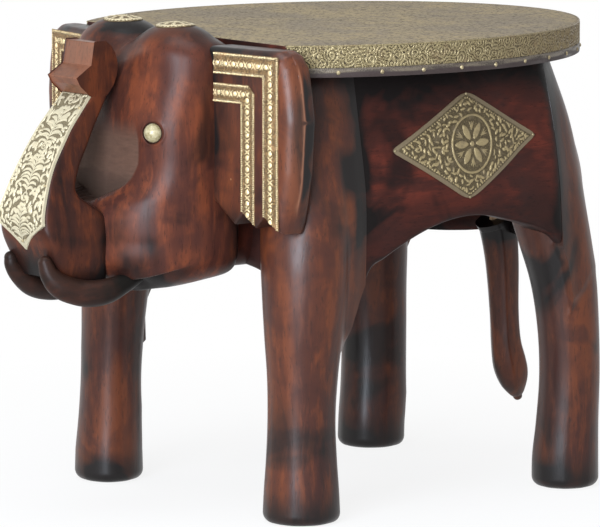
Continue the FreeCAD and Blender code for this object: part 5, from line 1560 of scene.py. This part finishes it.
def seat_edge(turn, inset):
    """Point of the seat's outline in a direction, with the oval cut off at the front."""
    long, wide = SEAT_LONG - inset, SEAT_WIDE - inset
    oval = 1 / np.sqrt((np.cos(turn) / wide) ** 2 + (np.sin(turn) / long) ** 2)
    cut = np.where(np.sin(turn) < -1e-3, (SEAT_FRONT - SEAT_MIDDLE) / np.minimum(np.sin(turn), -1e-3), 1e3)
    return np.minimum(oval, cut)


print("seat:", 2 * SEAT_WIDE, "mm wide and", round(SEAT_MIDDLE + SEAT_LONG - SEAT_FRONT, 1), "mm long")

# %% Seat top
turn = np.linspace(0, 2 * np.pi, 400, endpoint=False)
share = np.concatenate([np.linspace(0.01, 0.96, 48), np.linspace(0.965, 1.0, 12)])
edge = seat_edge(turn, 0.9)
radius = share[:, None] * edge[None, :]
x = radius * np.cos(turn)
y = SEAT_MIDDLE + radius * np.sin(turn)
from_edge = edge[None, :] - radius
drop = 1.2 * np.exp(-from_edge / 1.2)
waves = 0.15 * np.sin(x / 31.0 + 1.0) * np.sin(y / 27.0)
top_sheet = np.stack([x, y, SEAT_TOP - 0.2 + waves - drop], axis=-1)
under = top_sheet[::-1] * (1, 1, 0) + (0, 0, SEAT_TOP - 1.6)
show("seat_sheet_hammered", round_mesh("seat_sheet_hammered", np.concatenate([top_sheet, under])),
     ["seat_sheet"], seat_brass)

# %% [markdown]
# ## Band round the edge
# The band is filled with winding ridges, like worm casts, that curl round many centres.
# They are drawn along the whole outline, and both ends of the band stop at the straight
# front of the seat.

# %% Outline of the seat as a run
fine_turn = np.linspace(-np.pi / 2, 1.5 * np.pi, 6001)
oval = 1 / np.sqrt((np.cos(fine_turn) / SEAT_WIDE) ** 2 + (np.sin(fine_turn) / SEAT_LONG) ** 2)
oval_x, oval_y = oval * np.cos(fine_turn), SEAT_MIDDLE + oval * np.sin(fine_turn)
behind_saw = oval_y > SEAT_FRONT + 0.2
oval_x, oval_y = oval_x[behind_saw], oval_y[behind_saw]
length = np.concatenate([[0], np.cumsum(np.hypot(np.diff(oval_x), np.diff(oval_y)))])
EDGE_LONG = float(length[-1])
print("edge length", round(EDGE_LONG, 1), "mm")


def edge_ring(run, out):
    """Points on the seat's outline at a run along it, moved outwards by out."""
    x, y = np.interp(run, length, oval_x), np.interp(run, length, oval_y)
    normal = np.stack([x / SEAT_WIDE**2, (y - SEAT_MIDDLE) / SEAT_LONG**2], axis=-1)
    normal /= np.linalg.norm(normal, axis=-1)[..., None]
    return np.stack([x, y], axis=-1) + normal * out[..., None]


# %% Relief of the band
BAND_LOW, BAND_TALL, WORM_PITCH = 361.4, 18.2, 2.5
run = np.linspace(0, EDGE_LONG, 1700)
level = np.linspace(0, BAND_TALL, 29)
run_grid, level_grid = np.meshgrid(run, level, indexing="ij")
lift = np.zeros_like(run_grid)
for start in np.arange(0, EDGE_LONG, 60.0):
    here = (run >= start) & (run < start + 60.0)
    local = np.random.default_rng(int(start))
    centres = [(start + place + local.uniform(-2.5, 2.5), local.uniform(1, 17), local.choice((-1, 1)))
               for place in np.arange(-6, 67, 4.6)]
    warp = 0.9 * np.sin(run_grid[here] / 3.3) * np.cos(level_grid[here] / 2.9)
    lift[here] = scrolls(run_grid[here] + warp, level_grid[here] + warp, centres, WORM_PITCH)
upper_line = 0.85 * np.exp(-((level_grid - 17.5) / 0.6) ** 2)
lift = np.maximum(lift * soft_step(17.0, 16.4, level_grid), upper_line) * soft_step(0.0, 0.6, level_grid)
outward = edge_ring(run_grid, -1.0 + 0.75 * lift)
inward = edge_ring(run_grid, np.full(run_grid.shape, -2.2))
band_z = (BAND_LOW + level_grid)[..., None]
band_front = np.concatenate([outward, band_z], axis=-1)
band_back = np.concatenate([inward, band_z], axis=-1)
band_fields = {"relief": np.clip(lift, 0, 1), "plain": 0.1 + 0.4 * soft_step(-60, 170, band_front[..., 1])}
show("seat_edge_band_embossed", sheet_mesh("seat_edge_band_embossed", band_front, band_back, band_fields),
     ["seat_edge_band"], edge_brass)

# %% Trim under the band
TRIM_LOW, TRIM_TALL = 354.2, 7.4
level = np.linspace(0, TRIM_TALL, 12)
run_grid, level_grid = np.meshgrid(np.linspace(0, EDGE_LONG, 900), level, indexing="ij")
crown = 0.35 * np.sqrt(np.clip(1 - ((level_grid - TRIM_TALL / 2) / (TRIM_TALL / 2)) ** 2, 0, 1))
dents = 0.10 * np.sin(run_grid / 5.3) * np.sin(run_grid / 17.0)
trim_z = (TRIM_LOW + level_grid)[..., None]
trim_front = np.concatenate([edge_ring(run_grid, -0.45 + crown + dents), trim_z], axis=-1)
trim_back = np.concatenate([edge_ring(run_grid, np.full(run_grid.shape, -2.2)), trim_z], axis=-1)
trim_lift = 0.45 + 0.25 * np.sin(run_grid / 9.0) * np.sin(level_grid)
trim_fields = {"relief": trim_lift, "plain": soft_step(4.4, 3.2, level_grid + 0.5 * np.sin(run_grid / 13.0))}
show("seat_edge_trim_rounded", sheet_mesh("seat_edge_trim_rounded", trim_front, trim_back, trim_fields),
     ["seat_edge_trim"], trim_brass)
